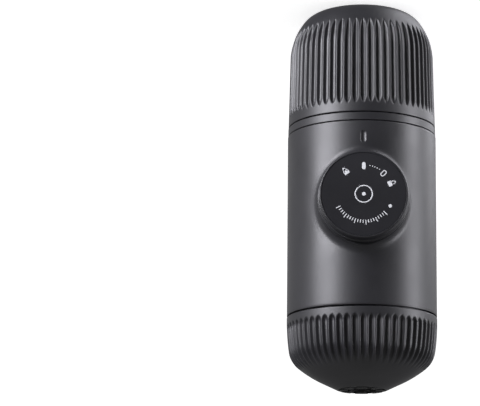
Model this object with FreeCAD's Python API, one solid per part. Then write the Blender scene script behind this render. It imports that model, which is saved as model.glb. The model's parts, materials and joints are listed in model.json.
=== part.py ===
import FreeCAD
import Part
import math
import os

# Handheld manual espresso maker: a barrel with a piston pump across it, a ribbed water tank
# screwed on below and a ribbed portafilter screwed on above. All sizes are in millimetres.
# It stands on the tank's flat base with the origin at that base's centre. +Z runs up to the
# nozzle, which is the way the water goes, and the knob faces -Y.

# ------------------------------------------------------------------ fits and seams
FIT = 0.05              # radial clearance of a piece pushed into another
RUNNING = 0.05          # radial clearance of a piece that slides or turns in another
LOOSE = 0.35            # radial clearance of pieces that only part
SEAM = 0.35             # gap between the barrel and what screws onto it
EDGE_BREAK = 0.25       # chamfer on the edges beside a seam

# ------------------------------------------------------------------ barrel
SHELL_R = 30.45
SHELL_WALL = 2.2
SHELL_LENGTH = 74.7
SEAT_STEP = 0.35        # step that each end of the shell sits on
SEAT_STEP_INSET = 1.35  # from the shell's radius to that step
SPIGOT_WALL = 1.0
SPIGOT_LENGTH = 6.0
INDEX_WIDTH = 1.5       # index mark pressed into the shell, below the knob
INDEX_LENGTH = 4.3
INDEX_DEPTH = 0.4
INDEX_DROP = 25.8       # from the knob's axis to the middle of the mark

# ------------------------------------------------------------------ water tank, from its rim
TANK_RIM_INSET = 0.24   # how far the rim lies inside the shell's radius
TANK_SIDE = 29.36
TANK_SIDE_HEADING = 91.21
TANK_SHOULDER_R = 26.0
TANK_SHOULDER_HEADING = 126.87
TANK_EDGE_R = 10.5
TANK_WALL = 3.6
TANK_BAND = 4.5         # plain band between the rim and the flutes
TANK_FLUTE_HEADING = 114.5
TANK_SEAL_HEIGHT = 1.8
TANK_SEAL_WIDTH = 0.9
MOUTH_WALL = 2.61       # tank wall beside its threaded mouth

# ------------------------------------------------------------------ portafilter, from its rim
HEAD_RIM_PROUD = 0.05   # how far the rim stands out from the shell's radius
HEAD_SIDE = 2.45
HEAD_SIDE_HEADING = 90.5
HEAD_BULGE_R = 82.9
HEAD_BULGE_HEADING = 98.3
HEAD_SHOULDER_R = 9.93
HEAD_SHOULDER_HEADING = 141.3
HEAD_CONE_HEADING = 154.4
HEAD_CONE = 6.8
HEAD_TIP_R = 0.8
HEAD_TIP_FLAT = 0.5    # flat of the tip outside the nozzle
HEAD_BAND_HEADING = 91.0
HEAD_FADE_HEADING = 125.0
HEAD_FADE = 5.5
HEAD_CAVITY_GAP = 1.6   # round the basket
HEAD_SEAL_HEIGHT = 1.0
HEAD_SEAL_WIDTH = 2.0
FUNNEL_GAP = 0.8        # between the basket and the funnel
FUNNEL_RISE = 1.6

# ------------------------------------------------------------------ flutes on both ends
FLUTE_COUNT = 60
FLUTE_WIDTH = 1.9
FLUTE_FLOOR = 0.9
FLUTE_DEPTH = 0.9
CUT_TOLERANCE = 0.001

# ------------------------------------------------------------------ threaded collars
COLLAR_WALL = 2.1
COLLAR_LENGTH = 6.4
COLLAR_FLANGE = 3.3     # the plain ring seen between the tank and the barrel
COLLAR_FLANGE_INSET = 0.15  # how far it lies inside the shell's radius

# ------------------------------------------------------------------ brew head and basket
BREW_PLATE = 3.3        # floor of the brew head inside the shell
BREW_FLOOR = 3.35       # floor above the seat step, up to the gasket's groove
BREW_COLLAR_WALL = 3.2
BREW_PAD_HEIGHT = 0.6
SPREAD_RIM = 1.7        # rim round the recess that spreads the water over the shower screen
SPREAD_DEPTH = 1.2
GASKET_WIDTH = 3.6
GASKET_PROUD = 0.2
GASKET_PLAY = 0.2
SCREEN_INSET = 0.2
SCREEN_THICKNESS = 0.5
SCREEN_HOLE_R = 0.7
SCREEN_RINGS = ((6, 9.0),)
BASKET_INSET = 0.4      # from the brew pad's radius
BASKET_DEPTH = 12.0
BASKET_SHEET = 0.6
BASKET_RIM_INSET = 0.6  # from the gasket's radius
BASKET_RIM = 0.8
BASKET_HOLE_R = 0.7
BASKET_RINGS = ((6, 9.0),)

# ------------------------------------------------------------------ nozzle and brew valve
NOZZLE_R = 9.5
NOZZLE_FLANGE = 1.6
NOZZLE_PROUD = 0.25
NOZZLE_STEM_R = 6.8
NOZZLE_RECESS_R = 5.8
NOZZLE_RECESS = 1.4
NOZZLE_NOTCHES = 8
NOZZLE_NOTCH_WIDTH = 2.2
NOZZLE_NOTCH_DEPTH = 0.9
SPOUT_R = 1.5
CHAMBER_R = 3.6
CHAMBER_FLOOR = 1.1
CHAMBER_ROOF = 1.0
NOZZLE_SEAL_SECTION_R = 0.7
VALVE_DISC_R = 2.9
VALVE_DISC = 1.0
VALVE_STUB = 0.4
BREW_SPRING_COIL_R = 1.9
BREW_SPRING_TURNS = 2.5

# ------------------------------------------------------------------ knob and its boss
KNOB_RISE = 32.45       # from the shell's lower end to the knob's axis
KNOB_R = 18.0
KNOB_FACE_R = 17.6
KNOB_PROUD = 7.8        # from the boss's lip to the knob's rim
KNOB_DRAFT = 5.0        # length of the knob's tapered end
KNOB_TAIL_GAP = 0.6     # between the pressed knob and the lock tube's flange
KNOB_WALL = 1.8
KNOB_ROOF = 1.8
KNOB_PLAY = 0.35        # between the knob and its boss
KNOB_EDGE = 0.4
DIAL_R = 16.8
DIAL_THICKNESS = 0.85
DIAL_POCKET = 1.0
HUB_R = 6.2
HUB_LENGTH = 7.0
BOSS_WALL = 0.9
BOSS_RISE = 1.75        # of the lip above the shell's front
BOSS_FLARE_R = 5.0
BOSS_DEPTH = 12.2       # from the lip to the boss's inner end
BOSS_TAIL_WALL = 1.9

# ------------------------------------------------------------------ lock tube
LOCK_R = 15.75
LOCK_WALL = 2.2
LOCK_FLANGE = 1.8
LOCK_FLANGE_R = 17.3
LOCK_TURN = 45.0        # degrees from locked to unlocked
LOCK_RING = 2.0         # ring that closes the grooves at the front
LUG_HEIGHT = 1.0
LUG_LENGTH = 3.0
LUG_ANGLE = 10.0
LUG_PLAY_ANGLE = 1.2
LUG_PLAY = 0.3

# ------------------------------------------------------------------ pump
STROKE = 17.0
BORE_R = 5.0
CYLINDER_WALL = 2.5
CYLINDER_BEVEL = 1.0
GUIDE_SLEEVE = 2.7      # length of the rod guide inside the cylinder
BLOCK_FLANGE = 2.6
BLOCK_FLANGE_R = 17.0
BLOCK_END_WALL = 2.0
PORT_GAP = 0.2          # from the pressed piston to the valve port
BORE_RUN = 0.5          # of the bore past the valve port
PISTON_PLAY = 0.5       # left before the drawn piston meets the rod guide
GUIDE_HEAD = 1.4
GUIDE_HEAD_R = 7.4
ROD_R = 3.0
JOURNAL_R = 2.4
CLIP_R = 4.4
CLIP = 0.6
CLIP_GROOVE = 0.5
CLIP_POCKET = 0.9       # depth of the clip's pocket under the dial disc
CLIP_PLAY = 0.1
PISTON_LENGTH = 5.0
PISTON_SPIGOT_R = 2.0
PISTON_SPIGOT = 3.2
SEAL_WIDTH = 1.8
SEAL_DEPTH = 1.2
SPRING_COIL_R = 8.6
SPRING_WIRE_R = 0.7
SPRING_TURNS = 4.0
POST_INSET = 2.0        # from the rim of the brew head's recess to the posts
POST_Y = 0.8
POST_R = 3.6

# ------------------------------------------------------------------ valves and ducts
COLUMN_GAP = 1.65       # between the valve column and the shell's bore
COLUMN_R = 5.0
VALVE_BORE_R = 3.2
PORT_R = 0.8
INLET_SEAT = 5.6
OUTLET_SEAT = 3.0
SEAT_HOLE_R = 1.5
BALL_R = 2.0
BALL_PLAY = 0.02
SPRING_ROOM = 8.4       # from a valve's seat to the end of its spring
VALVE_COIL_R = 1.5
VALVE_WIRE_R = 0.2
VALVE_TURNS = 3.0
OUTLET_RISE = 11.0      # from the knob's axis to the underside of the outlet seat
COLUMN_RISE = 27.0      # from the knob's axis to the top of the valve column
TUBE_R = 3.1
TUBE_BORE_R = 1.2
TUBE_SEAL_R = 0.55
TUBE_SEAL_INSET = 2.4
SOCKET_R = 5.2
SOCKET_DROP = 4.0
DUCT_TURN = 1.4
SPREADER_Y = 13.0       # where the brew head's duct opens

# ------------------------------------------------------------------ tank-side ports
STRAINER_R = 3.1
STRAINER_HEIGHT = 2.3
STRAINER_WALL = 0.5
AIR_VALVE_GAP = 4.15    # between the air valve and the collar's wall
AIR_VALVE_R = 4.0
AIR_VALVE = 0.8
AIR_STEM_R = 1.5
AIR_BULB_R = 2.2
AIR_HOLE_R = 0.6
AIR_HOLE_RING = 2.7

# ------------------------------------------------------------------ screws
POST_SCREW = (2.4, 1.1, 1.2, 9.0)       # head radius, head height, shank radius, length
LOCK_SCREW = (1.8, 1.2, 0.9, 6.0)
LOCK_SCREW_RING = 11.6
SCREW_BOSS_WALL = 1.35
SCREW_BOSS_END = 1.0
LOCK_SCREW_COUNT = 3
SHOWER_SCREW = (2.6, 1.1, 1.4, 3.2)


# ------------------------------------------------------------------ shared shapes
def vec(x, y, z):
    return FreeCAD.Vector(x, y, z)


X_AXIS = vec(1, 0, 0)
Y_AXIS = vec(0, 1, 0)
Z_AXIS = vec(0, 0, 1)
ORIGIN = vec(0, 0, 0)


def rod(radius, low, high, x=0.0, y=0.0):
    """A round bar along Z, between two heights."""
    return Part.makeCylinder(radius, high - low, vec(x, y, low))


def ring(outer, inner, low, high, x=0.0, y=0.0):
    """A tube along Z, between two heights."""
    return rod(outer, low, high, x, y).cut(rod(inner, low, high, x, y))


def turned(*outline):
    """Turns a closed outline of (radius, height) points about Z."""
    points = [vec(r, 0, z) for r, z in outline]
    face = Part.Face(Part.makePolygon(points + points[:1]))
    return face.revolve(ORIGIN, Z_AXIS, 360)


def spaced(shape, count, first=0.0):
    """Copies of a shape, evenly spaced round Z."""
    copies = []
    for i in range(count):
        copy = shape.copy()
        copy.rotate(ORIGIN, Z_AXIS, first + i * 360.0 / count)
        copies.append(copy)
    return copies


def moved(shape, x=0.0, y=0.0, z=0.0):
    copy = shape.copy()
    copy.translate(vec(x, y, z))
    return copy


def joined(first, *others):
    return first.fuse(list(others)).removeSplitter()


def wedge(radius, low, high, start, turn):
    """A slice of a round bar, from one angle through a turn in degrees."""
    piece = Part.makeCylinder(radius, high - low, vec(0, 0, low), Z_AXIS, turn)
    piece.rotate(ORIGIN, Z_AXIS, start)
    return piece


def hole_rings(radius, rings, low, high):
    """Drills for rings of (count, ring radius) holes round one in the middle."""
    drills = [rod(radius, low, high)]
    for count, ring_r in rings:
        drills += spaced(rod(radius, low, high, ring_r), count)
    return drills


def seal_ring(major, section_r, z):
    """An O-ring with an eight-sided section."""
    points = []
    for i in range(8):
        angle = math.radians(45 * i)
        points.append((major + section_r * math.cos(angle), z + section_r * math.sin(angle)))
    return turned(*points)


def screw(size):
    """A pan head screw that stands on Z = 0 with its shank below."""
    head_r, head, shank_r, length = size
    return joined(rod(head_r, 0, head), rod(shank_r, -length, 0))


def coil(coil_r, wire_r, turns, low, high):
    """A spring between two heights, of wire with a four-sided section."""
    height = high - low - 2 * wire_r
    spine = Part.makeHelix(height / turns, height, coil_r)
    corners = [(-wire_r, 0), (0, -wire_r), (wire_r, 0), (0, wire_r)]
    points = [vec(coil_r + r, 0, z) for r, z in corners]
    section = Part.makePolygon(points + points[:1])
    spring = Part.Wire(spine).makePipeShell([section], True, True)
    return moved(spring, z=low + wire_r)


def facing_front(shape):
    """Takes a shape drawn along +Z from the barrel's axis to the knob's axis, along -Y."""
    copy = shape.copy()
    copy.rotate(ORIGIN, X_AXIS, 90)
    copy.translate(vec(0, 0, KNOB_Z))
    return copy


class Meridian:
    """A line in the r-z plane that grows by tangent straight runs and left-hand arcs.

    Headings are in degrees: 0 points away from the axis, 90 up and 180 to the axis.
    """

    def __init__(self, r, z, heading):
        self.place = vec(r, 0, z)
        self.heading = heading
        self.edges = []

    def ahead(self, heading, radius):
        angle = math.radians(heading)
        return vec(math.sin(angle), 0, -math.cos(angle)) * radius

    def run(self, length):
        angle = math.radians(self.heading)
        return self.line_to(self.place + vec(math.cos(angle), 0, math.sin(angle)) * length)

    def line_to(self, end):
        self.edges.append(Part.makeLine(self.place, end))
        self.place = end
        return self

    def turn(self, radius, heading):
        centre = self.place - self.ahead(self.heading, radius)
        middle = centre + self.ahead((self.heading + heading) / 2.0, radius)
        end = centre + self.ahead(heading, radius)
        self.edges.append(Part.Arc(self.place, middle, end).toShape())
        self.place = end
        self.heading = heading
        return self

    def cleared(self):
        """Forgets the line so far and goes on from where it is."""
        self.edges = []
        return self

    def turned(self):
        """Closes the line to the axis and turns it about Z."""
        start = self.edges[0].Vertexes[0].Point
        end = self.place
        corners = [end, vec(0, 0, end.z), vec(0, 0, start.z), start]
        closing = [Part.makeLine(a, b) for a, b in zip(corners, corners[1:])]
        face = Part.Face(Part.Wire(self.edges + closing))
        return face.revolve(ORIGIN, Z_AXIS, 360)


def fluted(solid, line, start_heading):
    """Cuts evenly spaced flutes into a turned solid, along a meridian line on its surface."""
    start = line.edges[0].Vertexes[0].Point
    angle = math.radians(start_heading)
    outward = vec(math.sin(angle), 0, -math.cos(angle))
    slope = (FLUTE_WIDTH - FLUTE_FLOOR) / 2.0 / FLUTE_DEPTH
    above = FLUTE_DEPTH / 2.0
    top = FLUTE_WIDTH / 2.0 + slope * above
    bottom = FLUTE_FLOOR / 2.0
    corners = [(above, -top), (above, top), (-FLUTE_DEPTH, bottom), (-FLUTE_DEPTH, -bottom)]
    points = [start + outward * out + Y_AXIS * side for out, side in corners]
    section = Part.Face(Part.makePolygon(points + points[:1]))
    cutter = Part.Wire(line.edges).makePipe(section)
    return solid.cut(spaced(cutter, FLUTE_COUNT), CUT_TOLERANCE)


# ------------------------------------------------------------------ radii that follow
TANK_RIM_R = SHELL_R - TANK_RIM_INSET
HEAD_RIM_R = SHELL_R + HEAD_RIM_PROUD
COLLAR_FLANGE_R = SHELL_R - COLLAR_FLANGE_INSET
SEAT_STEP_R = SHELL_R - SEAT_STEP_INSET
SHELL_BORE = SHELL_R - SHELL_WALL
SPIGOT_R = SHELL_BORE - FIT
MOUTH_R = TANK_RIM_R - MOUTH_WALL
COLLAR_R = MOUTH_R - LOOSE
GASKET_R = COLLAR_R - BREW_COLLAR_WALL - FIT
BREW_PAD_R = GASKET_R - GASKET_WIDTH - GASKET_PLAY
SPREAD_R = BREW_PAD_R - SPREAD_RIM
SCREEN_R = BREW_PAD_R - SCREEN_INSET
BASKET_R = BREW_PAD_R - BASKET_INSET
BASKET_RIM_R = GASKET_R - BASKET_RIM_INSET
HEAD_CAVITY_R = BASKET_R + HEAD_CAVITY_GAP
POST_X = SPREAD_R - POST_INSET
VALVE_Y = SHELL_BORE - COLUMN_R - COLUMN_GAP
AIR_VALVE_Y = AIR_VALVE_R + AIR_VALVE_GAP + COLLAR_WALL - COLLAR_R


# ------------------------------------------------------------------ outlines of the two ends
def tank_line(inset=0.0):
    """The tank's outline from rim to base, or a line inside it by the inset."""
    line = Meridian(TANK_RIM_R - inset, 0, TANK_SIDE_HEADING)
    line.run(TANK_SIDE)
    line.turn(TANK_SHOULDER_R - inset, TANK_SHOULDER_HEADING)
    return line.turn(TANK_EDGE_R - inset, 180)


def head_line():
    """The portafilter's outline from rim to tip. The cone's curve is what reaches the nozzle."""
    line = Meridian(HEAD_RIM_R, 0, HEAD_SIDE_HEADING)
    line.run(HEAD_SIDE)
    line.turn(HEAD_BULGE_R, HEAD_BULGE_HEADING)
    line.turn(HEAD_SHOULDER_R, HEAD_SHOULDER_HEADING)
    shoulder, cone = math.radians(HEAD_SHOULDER_HEADING), math.radians(HEAD_CONE_HEADING)
    after = HEAD_TIP_R * math.sin(cone) - HEAD_CONE * math.cos(cone)
    width = line.place.x - after - NOZZLE_R - HEAD_TIP_FLAT
    line.turn(width / (math.sin(shoulder) - math.sin(cone)), HEAD_CONE_HEADING)
    line.run(HEAD_CONE)
    return line.turn(HEAD_TIP_R, 180)


# ------------------------------------------------------------------ heights and reaches that follow
TANK_HEIGHT = tank_line().place.z
COLLAR_Z = TANK_HEIGHT + SEAM
COLLAR_TOP = COLLAR_Z + COLLAR_FLANGE
COLLAR_END = COLLAR_Z - COLLAR_LENGTH
SHELL_Z = COLLAR_TOP + SEAT_STEP
SHELL_TOP = SHELL_Z + SHELL_LENGTH
KNOB_Z = SHELL_Z + KNOB_RISE

BREW_UNDER = SHELL_TOP - BREW_PLATE
BREW_STEP_Z = SHELL_TOP + SEAT_STEP
HEAD_Z = BREW_STEP_Z + SEAM
GROOVE_Z = BREW_STEP_Z + BREW_FLOOR
BREW_PAD_Z = GROOVE_Z + BREW_PAD_HEIGHT
BREW_END = BREW_STEP_Z + COLLAR_LENGTH + SEAM
GASKET_Z = BREW_END + GASKET_PROUD
BASKET_TOP = GASKET_Z + BASKET_RIM
BASKET_END = GASKET_Z + BASKET_DEPTH
POCKET_Z = BASKET_TOP + HEAD_SEAL_HEIGHT
POCKET_R = BASKET_RIM_R + LOOSE
HEAD_TIP = HEAD_Z + head_line().place.z
FUNNEL_TOP = BASKET_END + FUNNEL_GAP + FUNNEL_RISE
NOZZLE_TOP = HEAD_TIP + NOZZLE_PROUD
NOZZLE_SEAT = NOZZLE_TOP - NOZZLE_FLANGE
CHAMBER_Z = FUNNEL_TOP + CHAMBER_FLOOR
CHAMBER_TOP = NOZZLE_TOP - NOZZLE_RECESS - CHAMBER_ROOF

PISTON_FACE = PORT_R + PORT_GAP - VALVE_Y
BORE_END = -(VALVE_Y + PORT_R + BORE_RUN)
PISTON_FRONT = PISTON_FACE + PISTON_LENGTH
GUIDE_END = PISTON_FRONT + STROKE + PISTON_PLAY
BLOCK_FACE = GUIDE_END + GUIDE_SLEEVE
LOCK_FACE = BLOCK_FACE + LOCK_FLANGE
BOSS_LIP = SHELL_R + BOSS_RISE
BOSS_TAIL = BOSS_LIP - BOSS_DEPTH
KNOB_FACE = BOSS_LIP + KNOB_PROUD
KNOB_TAIL = LOCK_FACE + KNOB_TAIL_GAP
KNOB_UNDER = KNOB_FACE - DIAL_POCKET - KNOB_ROOF
HUB_TAIL = KNOB_UNDER - HUB_LENGTH
GROOVE_END = KNOB_TAIL + LUG_LENGTH + STROKE + LUG_PLAY
LOCK_END = GROOVE_END + LOCK_RING

INLET_SEAT_Z = COLLAR_TOP + INLET_SEAT
OUTLET_Z = KNOB_Z + OUTLET_RISE
OUTLET_SEAT_Z = OUTLET_Z + OUTLET_SEAT
COLUMN_TOP = KNOB_Z + COLUMN_RISE
BALL_RISE = math.sqrt(BALL_R ** 2 - SEAT_HOLE_R ** 2) + BALL_PLAY
COIL_ON_BALL = math.sqrt(BALL_R ** 2 - (VALVE_COIL_R - VALVE_WIRE_R) ** 2)
TUBE_Z = OUTLET_SEAT_Z + SPRING_ROOM
DUCT_Z = SHELL_TOP


# ------------------------------------------------------------------ water tank
def water_tank():
    outer = tank_line().turned()
    line = Meridian(TANK_RIM_R, 0, TANK_SIDE_HEADING).run(TANK_BAND).cleared()
    line.run(TANK_SIDE - TANK_BAND).turn(TANK_SHOULDER_R, TANK_FLUTE_HEADING)
    outer = fluted(outer, line, TANK_SIDE_HEADING)
    edge = turned(
        (TANK_RIM_R - EDGE_BREAK, 0),
        (TANK_RIM_R + EDGE_BREAK, 0),
        (TANK_RIM_R + EDGE_BREAK, 2 * EDGE_BREAK),
    )
    mouth_depth = COLLAR_LENGTH - SEAM + TANK_SEAL_HEIGHT
    tank = outer.cut([tank_line(TANK_WALL).turned(), rod(MOUTH_R, 0, mouth_depth), edge])
    tank.rotate(ORIGIN, X_AXIS, 180)
    return moved(tank, z=TANK_HEIGHT)


def tank_seal():
    outer = MOUTH_R - FIT
    return ring(outer, outer - TANK_SEAL_WIDTH, COLLAR_END - TANK_SEAL_HEIGHT, COLLAR_END)


# ------------------------------------------------------------------ tank collar and its ports
def post_places():
    return [(-POST_X, POST_Y), (POST_X, POST_Y)]


def tank_collar():
    inner = COLLAR_R - COLLAR_WALL
    outline = [
        (0, COLLAR_Z),
        (inner, COLLAR_Z),
        (inner, COLLAR_END),
        (COLLAR_R, COLLAR_END),
        (COLLAR_R, COLLAR_Z),
        (COLLAR_FLANGE_R - EDGE_BREAK, COLLAR_Z),
        (COLLAR_FLANGE_R, COLLAR_Z + EDGE_BREAK),
        (COLLAR_FLANGE_R, COLLAR_TOP - EDGE_BREAK),
        (COLLAR_FLANGE_R - EDGE_BREAK, COLLAR_TOP),
        (SEAT_STEP_R, COLLAR_TOP),
        (SEAT_STEP_R, SHELL_Z),
        (SPIGOT_R, SHELL_Z),
        (SPIGOT_R, SHELL_Z + SPIGOT_LENGTH),
        (SPIGOT_R - SPIGOT_WALL, SHELL_Z + SPIGOT_LENGTH),
        (SPIGOT_R - SPIGOT_WALL, COLLAR_TOP),
        (0, COLLAR_TOP),
    ]
    drills = [rod(SEAT_HOLE_R, COLLAR_Z, COLLAR_TOP, y=VALVE_Y)]
    for x, y in post_places():
        drills.append(rod(POST_SCREW[2] + FIT, COLLAR_Z, COLLAR_TOP, x, y))
    air = [rod(AIR_STEM_R + FIT, COLLAR_Z, COLLAR_TOP)]
    air += spaced(rod(AIR_HOLE_R, COLLAR_Z, COLLAR_TOP, AIR_HOLE_RING), 4, 45)
    drills += [moved(hole, y=AIR_VALVE_Y) for hole in air]
    return turned(*outline).cut(drills)


def collar_screws():
    one = screw(POST_SCREW)
    one.rotate(ORIGIN, X_AXIS, 180)
    return Part.makeCompound([moved(one, x, y, COLLAR_Z) for x, y in post_places()])


def intake_strainer():
    low = COLLAR_Z - STRAINER_HEIGHT
    cup = rod(STRAINER_R, low, COLLAR_Z)
    room = rod(STRAINER_R - STRAINER_WALL, low + STRAINER_WALL, COLLAR_Z)
    holes = spaced(rod(PORT_R / 2, low, COLLAR_Z, STRAINER_R / 2), 4)
    return moved(cup.cut([room] + holes), y=VALVE_Y)


def air_valve():
    """An umbrella valve: its disc lies under the collar and its bulb holds it from above."""
    shape = turned(
        (0, COLLAR_Z - AIR_VALVE),
        (AIR_VALVE_R, COLLAR_Z - AIR_VALVE / 2),
        (AIR_VALVE_R, COLLAR_Z),
        (AIR_STEM_R, COLLAR_Z),
        (AIR_STEM_R, COLLAR_TOP),
        (AIR_BULB_R, COLLAR_TOP),
        (AIR_STEM_R, COLLAR_TOP + AIR_BULB_R),
        (0, COLLAR_TOP + AIR_BULB_R),
    )
    return moved(shape, y=AIR_VALVE_Y)


# ------------------------------------------------------------------ barrel shell
def body_shell():
    barrel = turned(
        (0, SHELL_Z),
        (SHELL_R - EDGE_BREAK, SHELL_Z),
        (SHELL_R, SHELL_Z + EDGE_BREAK),
        (SHELL_R, SHELL_TOP - EDGE_BREAK),
        (SHELL_R - EDGE_BREAK, SHELL_TOP),
        (0, SHELL_TOP),
    )
    well_r = KNOB_R + KNOB_PLAY
    boss_r = well_r + BOSS_WALL
    solid = joined(barrel, facing_front(rod(boss_r, 0, BOSS_LIP + 2 * BOSS_FLARE_R)))

    def on_crease(point):
        from_knob = math.hypot(point.x, point.z - KNOB_Z)
        return abs(from_knob - boss_r) < 0.01 and abs(math.hypot(point.x, point.y) - SHELL_R) < 0.01

    crease = [edge for edge in solid.Edges if all(on_crease(p) for p in edge.discretize(5))]
    solid = solid.makeFillet(BOSS_FLARE_R, crease)
    beyond_lip = facing_front(rod(SHELL_R, BOSS_LIP, BOSS_LIP + 3 * BOSS_FLARE_R))
    bore = rod(SHELL_BORE, SHELL_Z, SHELL_TOP)
    solid = solid.cut([beyond_lip, bore])
    tail = facing_front(rod(well_r + BOSS_TAIL_WALL, BOSS_TAIL, SHELL_R))
    tail = tail.common(rod(SHELL_BORE + SHELL_WALL / 2, SHELL_Z, SHELL_TOP))
    solid = joined(solid, tail)
    well = facing_front(rod(well_r, 0, BOSS_LIP))
    return solid.cut([well, index_mark()])


def index_mark():
    """The cutter of the capsule-shaped mark that the knob is read against."""
    half = (INDEX_LENGTH - INDEX_WIDTH) / 2
    ends = [rod(INDEX_WIDTH / 2, SHELL_R - INDEX_DEPTH, SHELL_R + 1, y=side * half) for side in (-1, 1)]
    middle = Part.makeBox(
        INDEX_WIDTH, 2 * half, INDEX_DEPTH + 1, vec(-INDEX_WIDTH / 2, -half, SHELL_R - INDEX_DEPTH)
    )
    return moved(facing_front(joined(middle, *ends)), z=-INDEX_DROP)


# ------------------------------------------------------------------ pump block and plunger
def lock_screw_places():
    step = 360.0 / LOCK_SCREW_COUNT
    angles = [math.radians(30 + i * step) for i in range(LOCK_SCREW_COUNT)]
    return [(LOCK_SCREW_RING * math.cos(a), LOCK_SCREW_RING * math.sin(a)) for a in angles]


def pump_block():
    cylinder_r = BORE_R + CYLINDER_WALL
    end = BORE_END - BLOCK_END_WALL
    flange_back = BLOCK_FACE - BLOCK_FLANGE
    cylinder = turned(
        (0, end),
        (cylinder_r - CYLINDER_BEVEL, end),
        (cylinder_r, end + CYLINDER_BEVEL),
        (cylinder_r, BLOCK_FACE),
        (0, BLOCK_FACE),
    )
    across = [rod(BLOCK_FLANGE_R, flange_back, BLOCK_FACE), cylinder]
    pilot_r = LOCK_SCREW[2]
    tail = LOCK_FACE - LOCK_SCREW[3]
    for x, y in lock_screw_places():
        across.append(rod(pilot_r + SCREW_BOSS_WALL, tail - SCREW_BOSS_END, BLOCK_FACE, x, y))
    upright = [rod(COLUMN_R, COLLAR_TOP, COLUMN_TOP, y=VALVE_Y)]
    for x, y in post_places():
        upright.append(rod(POST_R, COLLAR_TOP, BREW_UNDER, x, y))
    block = joined(*[facing_front(shape) for shape in across], *upright)
    drills = [
        facing_front(rod(BORE_R, BORE_END, BLOCK_FACE)),
        rod(PORT_R, COLLAR_TOP, COLUMN_TOP, y=VALVE_Y),
        rod(VALVE_BORE_R, COLLAR_TOP, INLET_SEAT_Z + SPRING_ROOM, y=VALVE_Y),
        rod(VALVE_BORE_R, OUTLET_Z, COLUMN_TOP, y=VALVE_Y),
    ]
    for x, y in lock_screw_places():
        drills.append(facing_front(rod(pilot_r, tail, BLOCK_FACE, x, y)))
    depth = POST_SCREW[3]
    for x, y in post_places():
        drills.append(rod(POST_SCREW[2], COLLAR_TOP, COLLAR_TOP + depth, x, y))
        drills.append(rod(POST_SCREW[2], BREW_UNDER - depth, BREW_UNDER, x, y))
    return block.cut(drills)


def rod_guide():
    inner = ROD_R + RUNNING
    sleeve = ring(BORE_R - FIT, inner, GUIDE_END, BLOCK_FACE)
    head = ring(GUIDE_HEAD_R, inner, BLOCK_FACE, BLOCK_FACE + GUIDE_HEAD)
    return facing_front(joined(sleeve, head))


def lock_tube():
    flange = ring(LOCK_FLANGE_R, GUIDE_HEAD_R + FIT, BLOCK_FACE, LOCK_FACE)
    tube = ring(LOCK_R, LOCK_R - LOCK_WALL, LOCK_FACE, LOCK_END)
    depth = LUG_HEIGHT + LUG_PLAY
    groove_r = KNOB_R - KNOB_WALL - depth
    turn = LOCK_TURN + LUG_ANGLE + 2 * LUG_PLAY_ANGLE
    start = 90 - LUG_ANGLE / 2 - LUG_PLAY_ANGLE
    room = wedge(LOCK_R + 1, LOCK_FACE, GROOVE_END, start, turn)
    groove = room.cut(rod(groove_r, LOCK_FACE, LOCK_END))
    holes = [rod(LOCK_SCREW[2] + FIT, BLOCK_FACE, LOCK_FACE, x, y) for x, y in lock_screw_places()]
    return facing_front(joined(flange, tube).cut(spaced(groove, 2) + holes))


def lock_screws():
    places = lock_screw_places()
    return Part.makeCompound([facing_front(moved(screw(LOCK_SCREW), x, y, LOCK_FACE)) for x, y in places])


def return_spring():
    return facing_front(coil(SPRING_COIL_R, SPRING_WIRE_R, SPRING_TURNS, LOCK_FACE, KNOB_UNDER))


def plunger_rod():
    journal_end = KNOB_FACE - DIAL_POCKET - CLIP_PLAY
    clip_z = KNOB_FACE - DIAL_POCKET - CLIP_POCKET
    shape = turned(
        (0, PISTON_FRONT - PISTON_SPIGOT),
        (PISTON_SPIGOT_R, PISTON_FRONT - PISTON_SPIGOT),
        (PISTON_SPIGOT_R, PISTON_FRONT),
        (ROD_R, PISTON_FRONT),
        (ROD_R, HUB_TAIL),
        (JOURNAL_R, HUB_TAIL),
        (JOURNAL_R, clip_z),
        (JOURNAL_R - CLIP_GROOVE, clip_z),
        (JOURNAL_R - CLIP_GROOVE, clip_z + CLIP),
        (JOURNAL_R, clip_z + CLIP),
        (JOURNAL_R, journal_end),
        (0, journal_end),
    )
    return facing_front(shape)


def piston():
    """The cup seal sits in a groove round the piston's middle."""
    outer = BORE_R - RUNNING
    groove = PISTON_FACE + (PISTON_LENGTH - SEAL_WIDTH) / 2
    shape = turned(
        (0, PISTON_FACE),
        (outer, PISTON_FACE),
        (outer, groove),
        (outer - SEAL_DEPTH, groove),
        (outer - SEAL_DEPTH, groove + SEAL_WIDTH),
        (outer, groove + SEAL_WIDTH),
        (outer, PISTON_FRONT),
        (PISTON_SPIGOT_R, PISTON_FRONT),
        (PISTON_SPIGOT_R, PISTON_FRONT - PISTON_SPIGOT),
        (0, PISTON_FRONT - PISTON_SPIGOT),
    )
    return facing_front(shape)


def piston_seal():
    low = PISTON_FACE + (PISTON_LENGTH - SEAL_WIDTH) / 2
    inner = BORE_R - RUNNING - SEAL_DEPTH
    return facing_front(ring(BORE_R - RUNNING / 2, inner, low, low + SEAL_WIDTH))


def knob_clip():
    low = KNOB_FACE - DIAL_POCKET - CLIP_POCKET
    clip = ring(CLIP_R, JOURNAL_R - CLIP_GROOVE, low, low + CLIP)
    mouth = Part.makeBox(2 * CLIP_R, JOURNAL_R, CLIP, vec(0, -JOURNAL_R / 2, low))
    return facing_front(clip.cut(mouth))


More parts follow.
